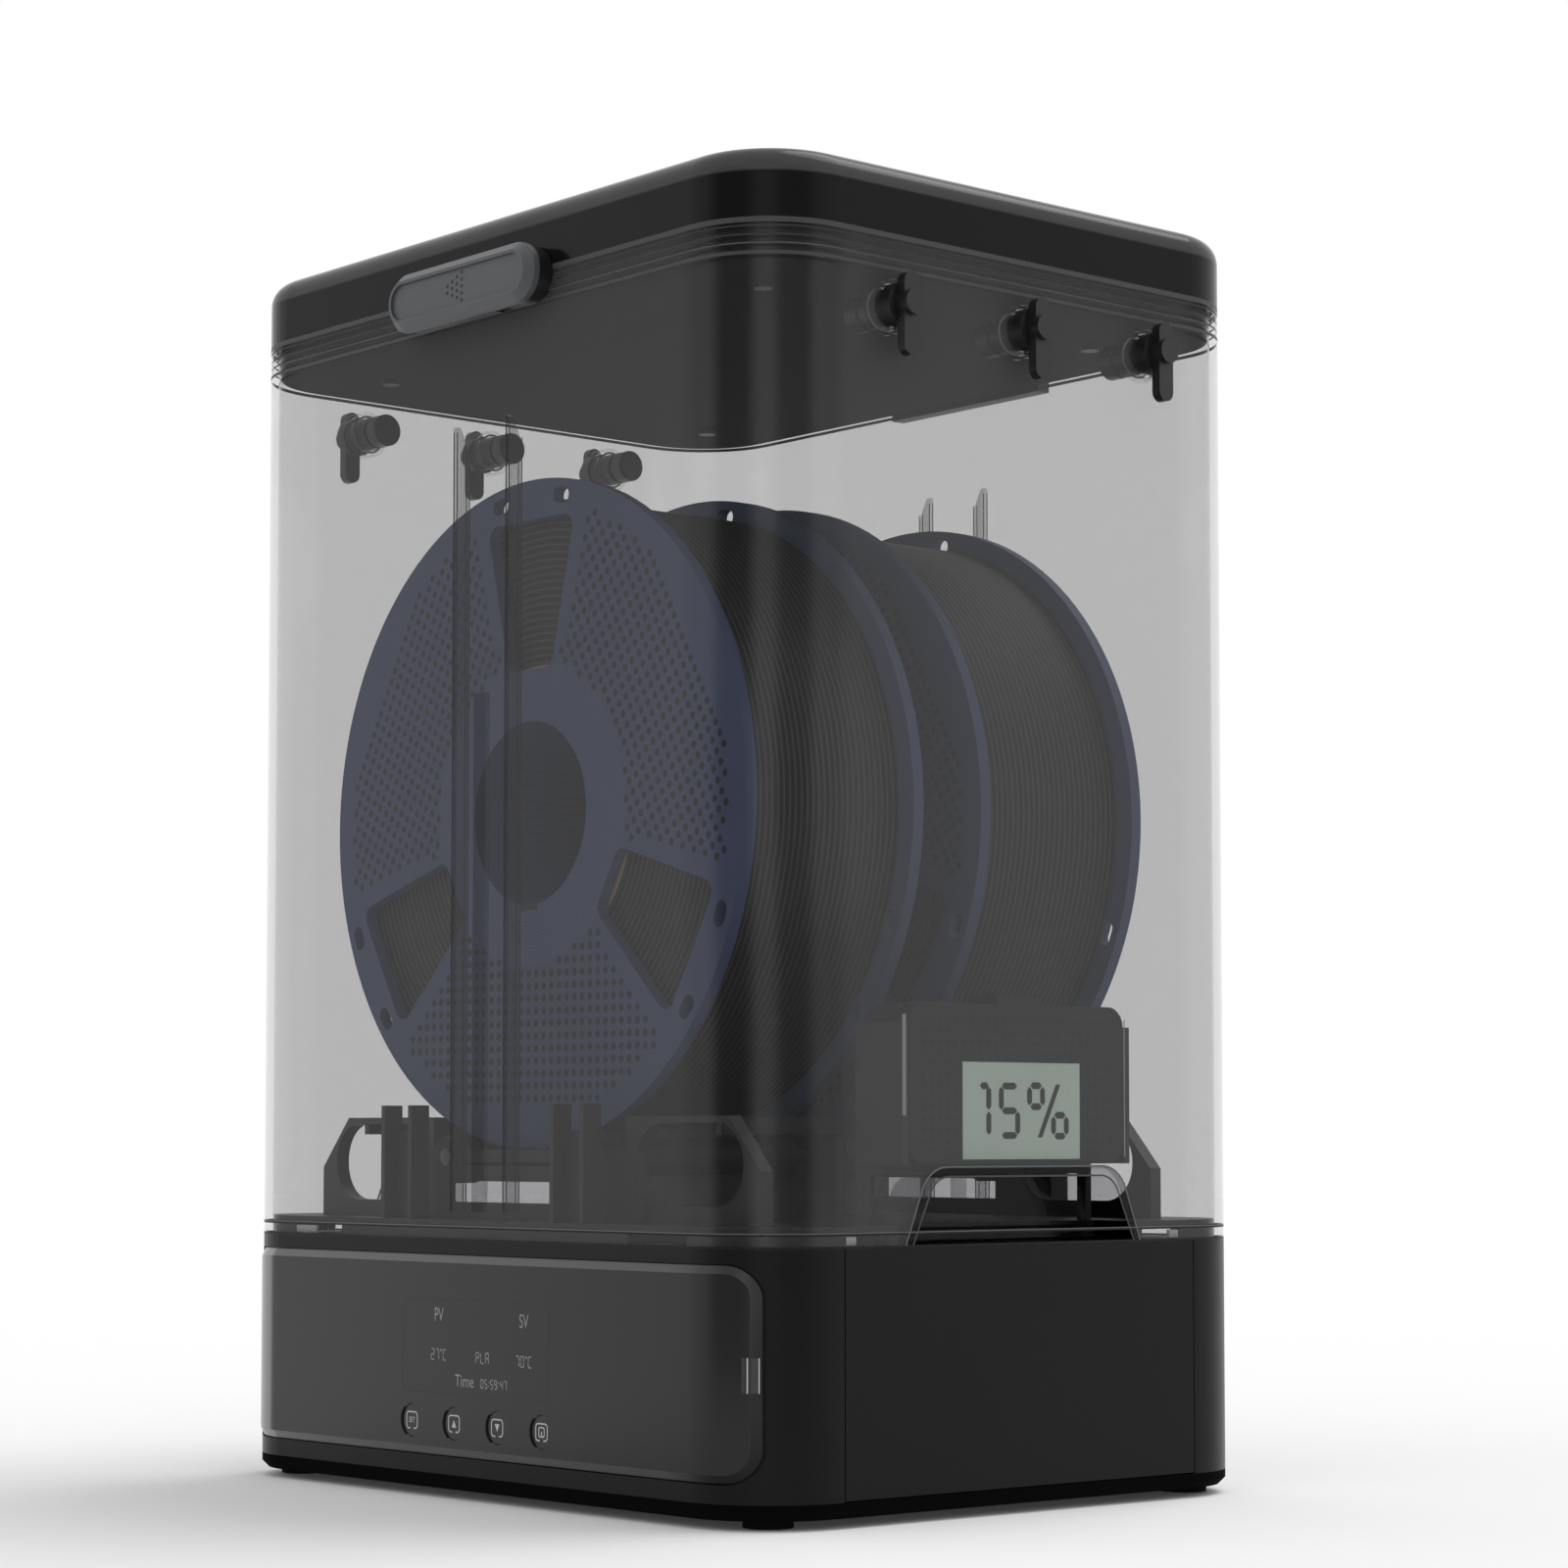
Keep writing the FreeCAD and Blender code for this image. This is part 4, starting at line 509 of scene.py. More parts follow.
class DRYER_OT_finishes(bpy.types.Operator):
    """Give every modelled part its finish"""

    bl_idname = "dryer.finishes"
    bl_label = "Finishes"

    def execute(self, context):
        tone = context.scene.dryer_colours
        low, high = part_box("filament_front")
        axis = ((low.x + high.x) / 2, (low.y + high.y) / 2, (low.z + high.z) / 2)
        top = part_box("lid_shell")[1].z
        flats = (CASE_WIDTH / 2 - CASE_CORNER, CASE_DEPTH / 2 - CASE_CORNER)
        finishes = {
            "case_plastic": moulded("case", tone.case, 0.32, 0.13, 0.35, 0.012),
            "deck_plastic": moulded("deck", tone.case, 0.5, 0.15),
            # Lid: painted highlight, a paler colour on its rounded top edge.
            "lid_plastic": gloss_with_painted_sheen("lid_edge", tone.lid, (0.066, 0.066, 0.068), top - 7.9 * MM, top - 0.1 * MM),
            "liner_plastic": moulded("liner", (0.0085, 0.0085, 0.009), 0.75, 0.02),
            "clear_plastic": clear("chamber", tone.smoke, corner=flats),
            # Front panel: painted shade towards its right end and a painted highlight where it is seen at a slant.
            "panel_gloss": smoked("panel", tone.panel, 0.088, 0.116),
            "display_black": moulded("display", (0.02, 0.02, 0.022), 0.15),
            "button_gloss": moulded("button", tone.button, 0.22, 0.4, 0.8, 0.006),
            "indicator_clear": moulded("indicator", (0.03, 0.03, 0.03), 0.2),
            "foot_rubber": moulded("foot", tone.rubber, 0.7, 0.3, 0.6, 0.06),
            "seal_rubber": moulded("seal", tone.rubber, 0.6, 0.15, 0.6, 0.01),
            "plug_rubber": moulded("plug", tone.rubber, 0.42, 0.45, 0.5, 0.02),
            "bush_clear": clear("bush", (0.9, 0.9, 0.9), 0.02),
            "cradle_plastic": moulded("cradle", tone.inner, 0.4, 0.2, 0.4, 0.008),
            "roller_rubber": moulded("roller", tone.rubber, 0.55, 0.3, 0.5, 0.03),
            "pin_steel": metal("pin", (0.62, 0.62, 0.62), 0.3),
            "spool_plastic": flange("spool", tone.spool, axis),
            "filament": wound("filament", tone.filament, axis, context.scene.dryer_sizes.turn),
            "meter_plastic": moulded("meter", (0.026, 0.026, 0.026), 0.5, 0.1, 0.4, 0.008),
            "meter_screen": moulded("screen", tone.screen, 0.25, 0.4, 1.5, 0.003),
            "latch_plastic": moulded("latch", tone.latch, 0.42, 0.4, 0.4, 0.02),
            "fitting_plastic": moulded("fitting", tone.rubber, 0.45, 0.35),
            "screw_steel": metal("screw", (0.05, 0.05, 0.052), 0.45),
            "board_green": moulded("board", (0.02, 0.14, 0.055), 0.4),
            "supply_metal": metal("sheet", (0.7, 0.7, 0.7), 0.4),
            "inlet_plastic": moulded("inlet", (0.015, 0.015, 0.015), 0.4),
            "fan_plastic": moulded("fan", (0.02, 0.02, 0.02), 0.45),
            "motor_metal": metal("motor", (0.5, 0.5, 0.5), 0.35),
            "heater_metal": metal("fins", (0.72, 0.72, 0.72), 0.35),
            "heater_plastic": moulded("heat_frame", (0.55, 0.52, 0.44), 0.6),
        }
        special = {
            "chamber_ribs": clear("fins", (0.72, 0.72, 0.73), 0.0),
            "finger_cups": clear("cups", (0.66, 0.66, 0.67), 0.0, 0.01),
            # Painted shade: the plinth and foot pads are darker than the case and the rubber, for the shadow under
            # the base.
            "base_plinth": moulded("plinth", (0.0025, 0.0025, 0.0026), 0.8, 0.02),
            "feet": moulded("foot_pad", (0.004, 0.004, 0.004), 0.8, 0.05),
        }
        for part in frame["record"]["subparts"]:
            mesh = frame["nodes"][part["node"]].data
            mesh.materials.clear()
            mesh.materials.append(special.get(part["node"], finishes[part["material_slot"]]))
        return {"FINISHED"}


class DRYER_OT_front_panel(bpy.types.Operator):
    """Smoked front panel with a bevelled edge, bent round both corners of the base"""

    bl_idname = "dryer.front_panel"
    bl_label = "Front panel"

    def execute(self, context):
        sizes = context.scene.dryer_sizes
        low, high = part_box("front_panel")
        shell_low, shell_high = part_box("base_shell")
        proud = shell_low.y - low.y
        thick = 2.4 * MM
        corner = 9 * MM
        width = high.x - low.x
        height = high.z - low.z
        middle = (0.0, (low.z + high.z) / 2)
        radius = CASE_CORNER
        flat = shell_high.x - radius
        data = bmesh.new()
        drop = sizes.bevel_drop
        rings = []
        for inset, depth in ((0, thick), (0, drop), (sizes.bevel * 0.18, drop * 0.8), (sizes.bevel, 0)):
            points = rounded(width - 2 * inset, height - 2 * inset, corner - inset, 10, middle)
            rings.append(loop(data, [(x, depth, z) for x, z in points]))
        face_edges = list(rings[3][1])
        for name in BUTTONS:
            cap_low, cap_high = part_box(f"button_{name}")
            centre = ((cap_low.x + cap_high.x) / 2, (cap_low.z + cap_high.z) / 2)
            gap = (cap_high.x - cap_low.x) / 2 + 0.3 * MM
            front = loop(data, [(x, 0, z) for x, z in circle(gap, 48, centre)])
            back = loop(data, [(x, thick, z) for x, z in circle(gap, 48, centre)])
            bmesh.ops.bridge_loops(data, edges=front[1] + back[1])
            face_edges += front[1]
        bmesh.ops.bridge_loops(data, edges=rings[0][1] + rings[1][1])
        for index in (1, 2):
            edge = bmesh.ops.bridge_loops(data, edges=rings[index][1] + rings[index + 1][1])
            for side in edge["faces"]:
                side.material_index = 1
        bmesh.ops.triangle_fill(data, use_beauty=True, use_dissolve=False, edges=face_edges)
        for side in (-1, 1):
            for step in range(23):
                cut_x = side * (flat + (radius + proud) * sin(radians(2 * step)))
                geometry = data.verts[:] + data.edges[:] + data.faces[:]
                bmesh.ops.bisect_plane(data, geom=geometry, plane_co=(cut_x, 0, 0), plane_no=(1, 0, 0))
        for vert in data.verts:
            x, depth, z = vert.co
            side = 1 if x > 0 else -1
            turn = asin(min(1, max(0, abs(x) - flat) / (radius + proud)))
            reach = radius + proud - depth
            bent = flat + reach * sin(turn) if abs(x) > flat else abs(x)
            vert.co = (side * bent, shell_low.y + radius - reach * cos(turn), z)
        paint = frame["nodes"]["front_panel"].data.materials[0]
        # Painted highlight on the bevelled edge: a paler colour than the panel, lighter towards the top.
        rim = smoked("panel_bevel_painted_highlight", (0.095, 0.095, 0.097), 0.088, 0.112, 4, 4)
        new_piece("front_panel_shell", data, [paint, rim], "base", ["front_panel"], 20)
        return {"FINISHED"}


class DRYER_OT_display(bpy.types.Operator):
    """Letters and digits of the display behind the front panel"""

    bl_idname = "dryer.display"
    bl_label = "Display"

    def execute(self, context):
        sizes = context.scene.dryer_sizes
        tone = context.scene.dryer_colours
        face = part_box("front_panel")[0].y - sizes.mark
        place = on_front(face)
        tall = sizes.letter
        data = bmesh.new()
        lettering(data, "PV", tall, 0.74, -14.6 * MM, 53.5 * MM, place)
        lettering(data, "SV", tall, 0.74, 27.0 * MM, 53.0 * MM, place)
        lettering(data, "Time", 3.6 * MM, 0.88, -1.7 * MM, 34.6 * MM, place)
        line = 0.36 * MM
        rows = (
            ("27'C", -14.6, 42.0, 1.85, 3.4, 0.5), ("PLA", 7.0, 41.8, 1.85, 3.4, 0.5),
            ("70'C", 27.0, 41.6, 1.85, 3.4, 0.5), ("05:59:47", 12.6, 34.4, 1.5, 2.8, 0.4),
        )
        for text, across, up, width, height, gap in rows:
            for outline in segment_row(text, across * MM, up * MM, width * MM, height * MM, gap * MM, line):
                filled(data, [outline], place)
        shade = bmesh.new()
        middle = (3.0 * MM, 44.5 * MM)
        outer = rounded(72 * MM, 28 * MM, 3 * MM, 8, middle)
        inner = rounded(71 * MM, 27 * MM, 2.5 * MM, 8, middle)
        filled(shade, [outer, inner], on_front(face + sizes.mark / 2))
        dark = moulded("display_edge", (0.03, 0.03, 0.0305), 0.2, 0.2)
        new_piece("display_outline", shade, [dark], "base")
        new_piece("display_marks", data, [printed_or_painted_light("display_mark", tone.letters, 0.15)], "base")
        return {"FINISHED"}


class DRYER_OT_button_marks(bpy.types.Operator):
    """Open frame and sign on each push button"""

    bl_idname = "dryer.button_marks"
    bl_label = "Button marks"

    def frame_outline(self, width, height, line, gap):
        """Rounded frame that is open at the middle of its lower side."""
        radius = 1.3 * MM
        steps = 6
        outer = rounded(width, height, radius, steps)
        inner = rounded(width - 2 * line, height - 2 * line, radius - line, steps)
        start = 3 * (steps + 1)
        ring_out = outer[start:] + outer[:start]
        ring_in = inner[start:] + inner[:start]
        edge_out = [(gap / 2, -height / 2)] + ring_out + [(-gap / 2, -height / 2)]
        edge_in = [(gap / 2, -height / 2 + line)] + ring_in + [(-gap / 2, -height / 2 + line)]
        return edge_out + edge_in[::-1]

    def execute(self, context):
        sizes = context.scene.dryer_sizes
        tone = context.scene.dryer_colours
        paint = printed_or_painted_light("button_mark", tone.icons, 0.1)
        for name in BUTTONS:
            low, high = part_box(f"button_{name}")
            middle_x = (low.x + high.x) / 2
            middle_z = (low.z + high.z) / 2
            place = on_front(low.y - sizes.mark)
            data = bmesh.new()
            outline = self.frame_outline(sizes.icon, sizes.icon * 0.9, sizes.icon_line, 1.7 * MM)
            filled(data, [[(x + middle_x, z + middle_z) for x, z in outline]], place)
            if name == "set":
                lettering(data, "SET", 1.6 * MM, 0.85, middle_x, middle_z, place)
            elif name == "lock":
                outer = rounded(2.9 * MM, 3.0 * MM, 0.7 * MM, 5, (middle_x, middle_z))
                inner = rounded(2.2 * MM, 2.3 * MM, 0.4 * MM, 5, (middle_x, middle_z))
                filled(data, [outer, inner], place)
                filled(data, [bar(middle_x, middle_z - 0.5 * MM, 0.45 * MM, 1.5 * MM)], place)
            else:
                lift = 1.1 * MM if name == "up" else -1.1 * MM
                filled(data, [[(middle_x - 1.1 * MM, middle_z - lift), (middle_x + 1.1 * MM, middle_z - lift),
                               (middle_x, middle_z + lift)]], place)
            new_piece(f"button_{name}_mark", data, [paint], f"button_{name}")
        return {"FINISHED"}


class DRYER_OT_indicator(bpy.types.Operator):
    """Two painted highlights, pale glowing strips on the edges of the light bar at the right end of the front panel
    """

    bl_idname = "dryer.indicator"
    bl_label = "Indicator light"

    def execute(self, context):
        low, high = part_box("indicator_light")
        shell_low, shell_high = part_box("base_shell")
        centre = Vector((shell_high.x - CASE_CORNER, shell_low.y + CASE_CORNER, 0))
        data = bmesh.new()
        for angle in (-52.6, -46.4):
            turn = radians(angle)
            outward = Vector((cos(turn), sin(turn), 0))
            along = Vector((-sin(turn), cos(turn), 0))
            start = centre + outward * (CASE_CORNER + 0.66 * MM)
            shape = Matrix.Translation((start.x, start.y, (low.z + high.z) / 2))
            axes = Matrix((along, Vector((0, 0, 1)), outward)).transposed().to_4x4()
            reach = Matrix.Diagonal((0.32 * MM, high.z - low.z, 1, 1))
            bmesh.ops.create_grid(data, x_segments=1, y_segments=1, size=0.5, matrix=shape @ axes @ reach)
        # Painted highlight: pale strips that glow a little, where the bar's edges catch the light.
        paint = printed_or_painted_light("indicator_painted_glint", (0.5, 0.5, 0.51), 0.2)
        new_piece("indicator_painted_glints", data, [paint], "base")
        return {"FINISHED"}


class DRYER_OT_latch_dots(bpy.types.Operator):
    """Arrow of dots pressed into the latch slider"""

    bl_idname = "dryer.latch_dots"
    bl_label = "Latch dots"

    def execute(self, context):
        low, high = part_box("latch_slider")
        face = low.y + 0.8 * MM - 0.03 * MM
        middle_x = (low.x + high.x) / 2
        middle_z = (low.z + high.z) / 2
        data = bmesh.new()
        for column, count in enumerate((2, 3, 4, 5)):
            for row in range(count):
                centre = (middle_x + (column - 1.9) * 2.4 * MM, middle_z + (row - (count - 1) / 2) * 2.05 * MM)
                filled(data, [circle(0.6 * MM, 14, centre)], on_front(face))
        new_piece("latch_dots", data, [printed_or_painted_light("latch_dot", (0.03, 0.032, 0.036))], "latch")
        return {"FINISHED"}


class DRYER_OT_hygrometer(bpy.types.Operator):
    """Digits on the hygrometer's screen and the vent dots round it"""

    bl_idname = "dryer.hygrometer"
    bl_label = "Hygrometer face"

    def execute(self, context):
        tone = context.scene.dryer_colours
        low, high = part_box("hygrometer_screen")
        face = high.x + 0.04 * MM
        place = on_right(face)
        middle = ((low.y + high.y) / 2, (low.z + high.z) / 2)
        data = bmesh.new()
        wide = 7.4 * MM
        tall = 16.0 * MM
        line = 1.95 * MM
        outlines = digit("5", middle[0] - 5.0 * MM, middle[1], 8.4 * MM, tall, line)
        outlines += digit("1", middle[0] - 15.9 * MM, middle[1], wide, tall, line)
        outlines.append(bar(middle[0] - 14.9 * MM, middle[1] + (tall - line) / 2, 3.6 * MM, line))
        for shift, lift in ((5.6, 4.2), (15.2, -4.2)):
            ring = (middle[0] + shift * MM, middle[1] + lift * MM)
            for turn in range(4):
                lying = turn % 2 == 0
                out = (1 if turn < 2 else -1) * (3.0 if lying else 2.6) * MM
                reach = (4.6 * MM, line) if lying else (line, 5.4 * MM)
                outlines.append(bar(ring[0] + (0 if lying else out), ring[1] + (out if lying else 0), *reach))
        slash = ((6.2, -7.6), (8.0, -7.6), (15.4, 7.6), (13.6, 7.6))
        outlines.append([(middle[0] + x * MM, middle[1] + z * MM) for x, z in slash])
        for outline in outlines:
            filled(data, [outline], place)
        new_piece("hygrometer_digits", data, [printed_or_painted_light("segment", tone.segment)], "chamber")
        case_low, case_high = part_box("hygrometer_case")
        dots = bmesh.new()
        reach = Matrix.Diagonal((1.1 * MM, 1.1 * MM, 1, 1))
        turn = Matrix.Rotation(radians(90), 4, "Y")
        pitch = 3.1 * MM
        across_count = 25
        for column in range(across_count):
            y = (column - (across_count - 1) / 2) * pitch
            for row in range(13):
                z = case_low.z + 3.4 * MM + row * pitch
                beside = y < low.y - 1.5 * MM or y > high.y + 1.5 * MM
                above = z > high.z + 1.5 * MM
                if beside or above:
                    spot = Matrix.Translation((case_high.x + 0.03 * MM, y, z))
                    bmesh.ops.create_grid(dots, x_segments=1, y_segments=1, size=0.5, matrix=spot @ turn @ reach)
        new_piece("hygrometer_vents", dots, [printed_or_painted_light("vent", (0.006, 0.006, 0.006))], "chamber")
        return {"FINISHED"}


class DRYER_OT_spool_faces(bpy.types.Operator):
    """Rows of dimples on the spool flanges and the paper strip at the hub end of each window"""

    bl_idname = "dryer.spool_faces"
    bl_label = "Spool faces"

    def spots(self, pitch):
        """Places of the dimples round the axis, in three fields between the windows."""
        for third in range(3):
            turn = radians(180 + 120 * third)
            for column in range(-23, 24):
                for row in range(-23, 24):
                    x = column * pitch
                    z = row * pitch
                    radius = hypot(x, z)
                    if 46 * MM < radius < 92.5 * MM and abs(degrees(atan2(x, z))) < 42:
                        yield x * cos(turn) + z * sin(turn), z * cos(turn) - x * sin(turn)

    def execute(self, context):
        sizes = context.scene.dryer_sizes
        dark = printed_or_painted_light("dimple", (0.008, 0.009, 0.013))
        tan = moulded("strip", (0.3, 0.22, 0.13), 0.7, 0.2)
        for row in ("front", "rear"):
            for half, sign in (("front", -1), ("rear", 1)):
                low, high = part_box(f"spool_{row}_{half}_half")
                face = (low.y if sign < 0 else high.y) + sign * 0.03 * MM
                centre_z = (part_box(f"filament_{row}")[0].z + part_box(f"filament_{row}")[1].z) / 2
                data = bmesh.new()
                turn = Matrix.Rotation(radians(90), 4, "X")
                for x, z in self.spots(sizes.dot_pitch):
                    spot = Matrix.Translation((x, face, centre_z + z))
                    bmesh.ops.create_circle(data, cap_ends=True, segments=10, radius=sizes.dot, matrix=spot @ turn)
                notch = [(x * MM, centre_z - z * MM) for x, z in ((-4, 27), (4, 27), (4, 29.2), (-4, 29.2))]
                filled(data, [notch], on_front(face))
                new_piece(f"spool_{row}_{half}_dimples", data, [dark], f"spool_{row}")
            low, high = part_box(f"filament_{row}")
            centre = (0.0, (low.z + high.z) / 2)
            strip = bmesh.new()
            for side in (low.y - 0.05 * MM, high.y + 0.05 * MM):
                filled(strip, [circle(44.6 * MM, 96, centre), circle(41 * MM, 96, centre)], on_front(side))
            new_piece(f"spool_{row}_strips", strip, [tan], f"spool_{row}")
        return {"FINISHED"}


class DRYER_OT_wall_edges(bpy.types.Operator):
    """Bright and dark lines where light catches the edges of the clear chamber"""

    bl_idname = "dryer.wall_edges"
    bl_label = "Clear edges"

    def band(self, data, inset, low, high, paint):
        """Strip all round the chamber between two heights."""
        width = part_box("base_shell")[1].x * 2 - 2 * inset
        depth = CASE_DEPTH - 2 * inset
        rings = []
        for z in (low, high):
            points = rounded(width, depth, CASE_CORNER - inset, 14)
            rings.append(loop(data, [(x, y, z) for x, y in points])[1])
        for side in bmesh.ops.bridge_loops(data, edges=rings[0] + rings[1])["faces"]:
            side.material_index = paint

    def arch(self, grow):
        """Points up one side of a finger scoop, over its top and down the other side."""
        foot = 44 * MM + grow
        head = 35.5 * MM + grow
        top = 19.7 * MM + grow
        radius = 8 * MM + grow
        slope = atan2(foot - head, top)
        middle = head - radius * (1 - sin(slope)) / cos(slope)
        right = [(foot, 0.6 * MM)]
        for step in range(9):
            turn = slope + (pi / 2 - slope) * step / 8
            right.append((middle + radius * cos(turn), top - radius + radius * sin(turn)))
        return right + [(-across, up) for across, up in right[::-1]]

    def execute(self, context):
        bright = printed_or_painted_light("edge_bright", (0.125, 0.125, 0.127))
        dark = printed_or_painted_light("edge_dark", (0.006, 0.006, 0.006))
        pale = printed_or_painted_light("edge_pale", (0.4, 0.4, 0.4))
        dull = printed_or_painted_light("edge_dull", (0.066, 0.066, 0.068))
        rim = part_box("chamber")[1].z
        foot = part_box("chamber")[0].z
        data = bmesh.new()
        proud = -0.03 * MM
        self.band(data, proud, rim - 1.7 * MM, rim - 0.2 * MM, 3)
        self.band(data, proud, rim - 10.6 * MM, rim - 9.6 * MM, 3)
        for step, paint in enumerate((3, 3, 0)):
            low = rim - (2.7 + 2.4 * step) * MM
            self.band(data, 0.42 * MM, low, low + 0.3 * MM, paint)
            self.band(data, 0.42 * MM, low + 0.3 * MM, low + 0.6 * MM, 1)
        self.band(data, proud, foot + 4.1 * MM, foot + 4.4 * MM, 0)
        self.band(data, proud, foot + 3.6 * MM, foot + 4.1 * MM, 1)
        self.band(data, proud, foot + 0.05 * MM, foot + 0.7 * MM, 1)
        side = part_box("chamber")[1].x
        for sign in (-1, 1):
            for grow in (-0.5 * MM, 2.2 * MM):
                outline = self.arch(grow + 0.5 * MM) + self.arch(grow)[::-1]
                points = [(across, foot + up) for across, up in outline]
                for face in filled(data, [points], on_right(sign * (side + 0.04 * MM))):
                    face.material_index = 0 if grow > 0 else 3
            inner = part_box("outlet_bushes_right")[0].x
            for row in ("front", "middle", "rear"):
                low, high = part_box(f"plug_right_{row}")
                centre = ((low.y + high.y) / 2, rim - 21 * MM)
                rings = [circle(6.3 * MM, 40, centre), circle(5.6 * MM, 40, centre)]
                for face in filled(data, rings, on_right(sign * (inner - 0.04 * MM))):
                    face.material_index = 2
        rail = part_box("cradle")[1].x + 0.03 * MM
        low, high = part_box("hygrometer_case")
        slits = ((low.y - 2.6 * MM, low.y - 1.2 * MM, 13.7 * MM), (high.y + 0.4 * MM, high.y + 0.9 * MM, 2 * MM))
        for start, end, under in slits:
            bottom = low.z + under
            top = high.z - 6 * MM
            corners = [(start, bottom), (end, bottom), (end, top), (start, top)]
            for face in filled(data, [corners], on_right(rail)):
                face.material_index = 2
        low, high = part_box("chamber_ribs")
        for turn in (-1, 1):
            for side in (-13.8, -12.2, 12.2, 13.8):
                across = (side + (0.02 if side in (-12.2, 13.8) else -0.02)) * MM
                for start, end in ((0.0, 0.4), (4.6, 4.96)):
                    reach = [turn * (high.y - away * MM) for away in (start, end)]
                    top = high.z - (1.0 + end) * MM
                    corners = [(reach[0], low.z), (reach[1], low.z), (reach[1], top), (reach[0], top)]
                    for face in filled(data, [corners], on_right(across)):
                        face.material_index = 1
        new_piece("chamber_edges", data, [bright, dark, pale, dull], "chamber")
        return {"FINISHED"}


class DRYER_OT_painted_glints(bpy.types.Operator):
    """Pale blocks in the gaps under the cradle: painted highlights where the clear chamber's bottom edge catches the
    light
    """

    bl_idname = "dryer.clips"
    bl_label = "Chamber clips"

    def clip(self, data, low, high):
        """Small block with a bevelled edge between two corners."""
        middle = (Vector(low) + Vector(high)) / 2
        span = Vector(high) - Vector(low)
        shape = Matrix.Translation(middle) @ Matrix.Diagonal((*span, 1))
        made = bmesh.ops.create_cube(data, size=1.0, matrix=shape)
        edges = {edge for vert in made["verts"] for edge in vert.link_edges}
        bmesh.ops.bevel(data, geom=list(edges), offset=0.3 * MM, affect="EDGES", segments=2, profile=0.5, material=-1)

    def execute(self, context):
        low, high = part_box("cradle")
        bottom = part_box("chamber")[0].z + 0.8 * MM
        top = bottom + 2.4 * MM
        deep = 1.4 * MM
        data = bmesh.new()
        for start, end in ((43, 70), (-98, -85)):
            for front, back in ((low.y + 0.2 * MM, low.y + deep), (high.y - deep, high.y - 0.2 * MM)):
                self.clip(data, (start * MM, front, bottom), (end * MM, back, top))
        for start, end in ((62, 66), (-70, -62)):
            for left, right in ((low.x + 0.2 * MM, low.x + deep), (high.x - deep, high.x - 0.2 * MM)):
                self.clip(data, (left, start * MM, bottom), (right, end * MM, top))
        # Painted highlight: pale blocks that stand in for the light caught by the chamber's clear bottom edge.
        new_piece("chamber_painted_glints", data, [moulded("clip", (0.7, 0.7, 0.7), 0.4)], "chamber")
        return {"FINISHED"}


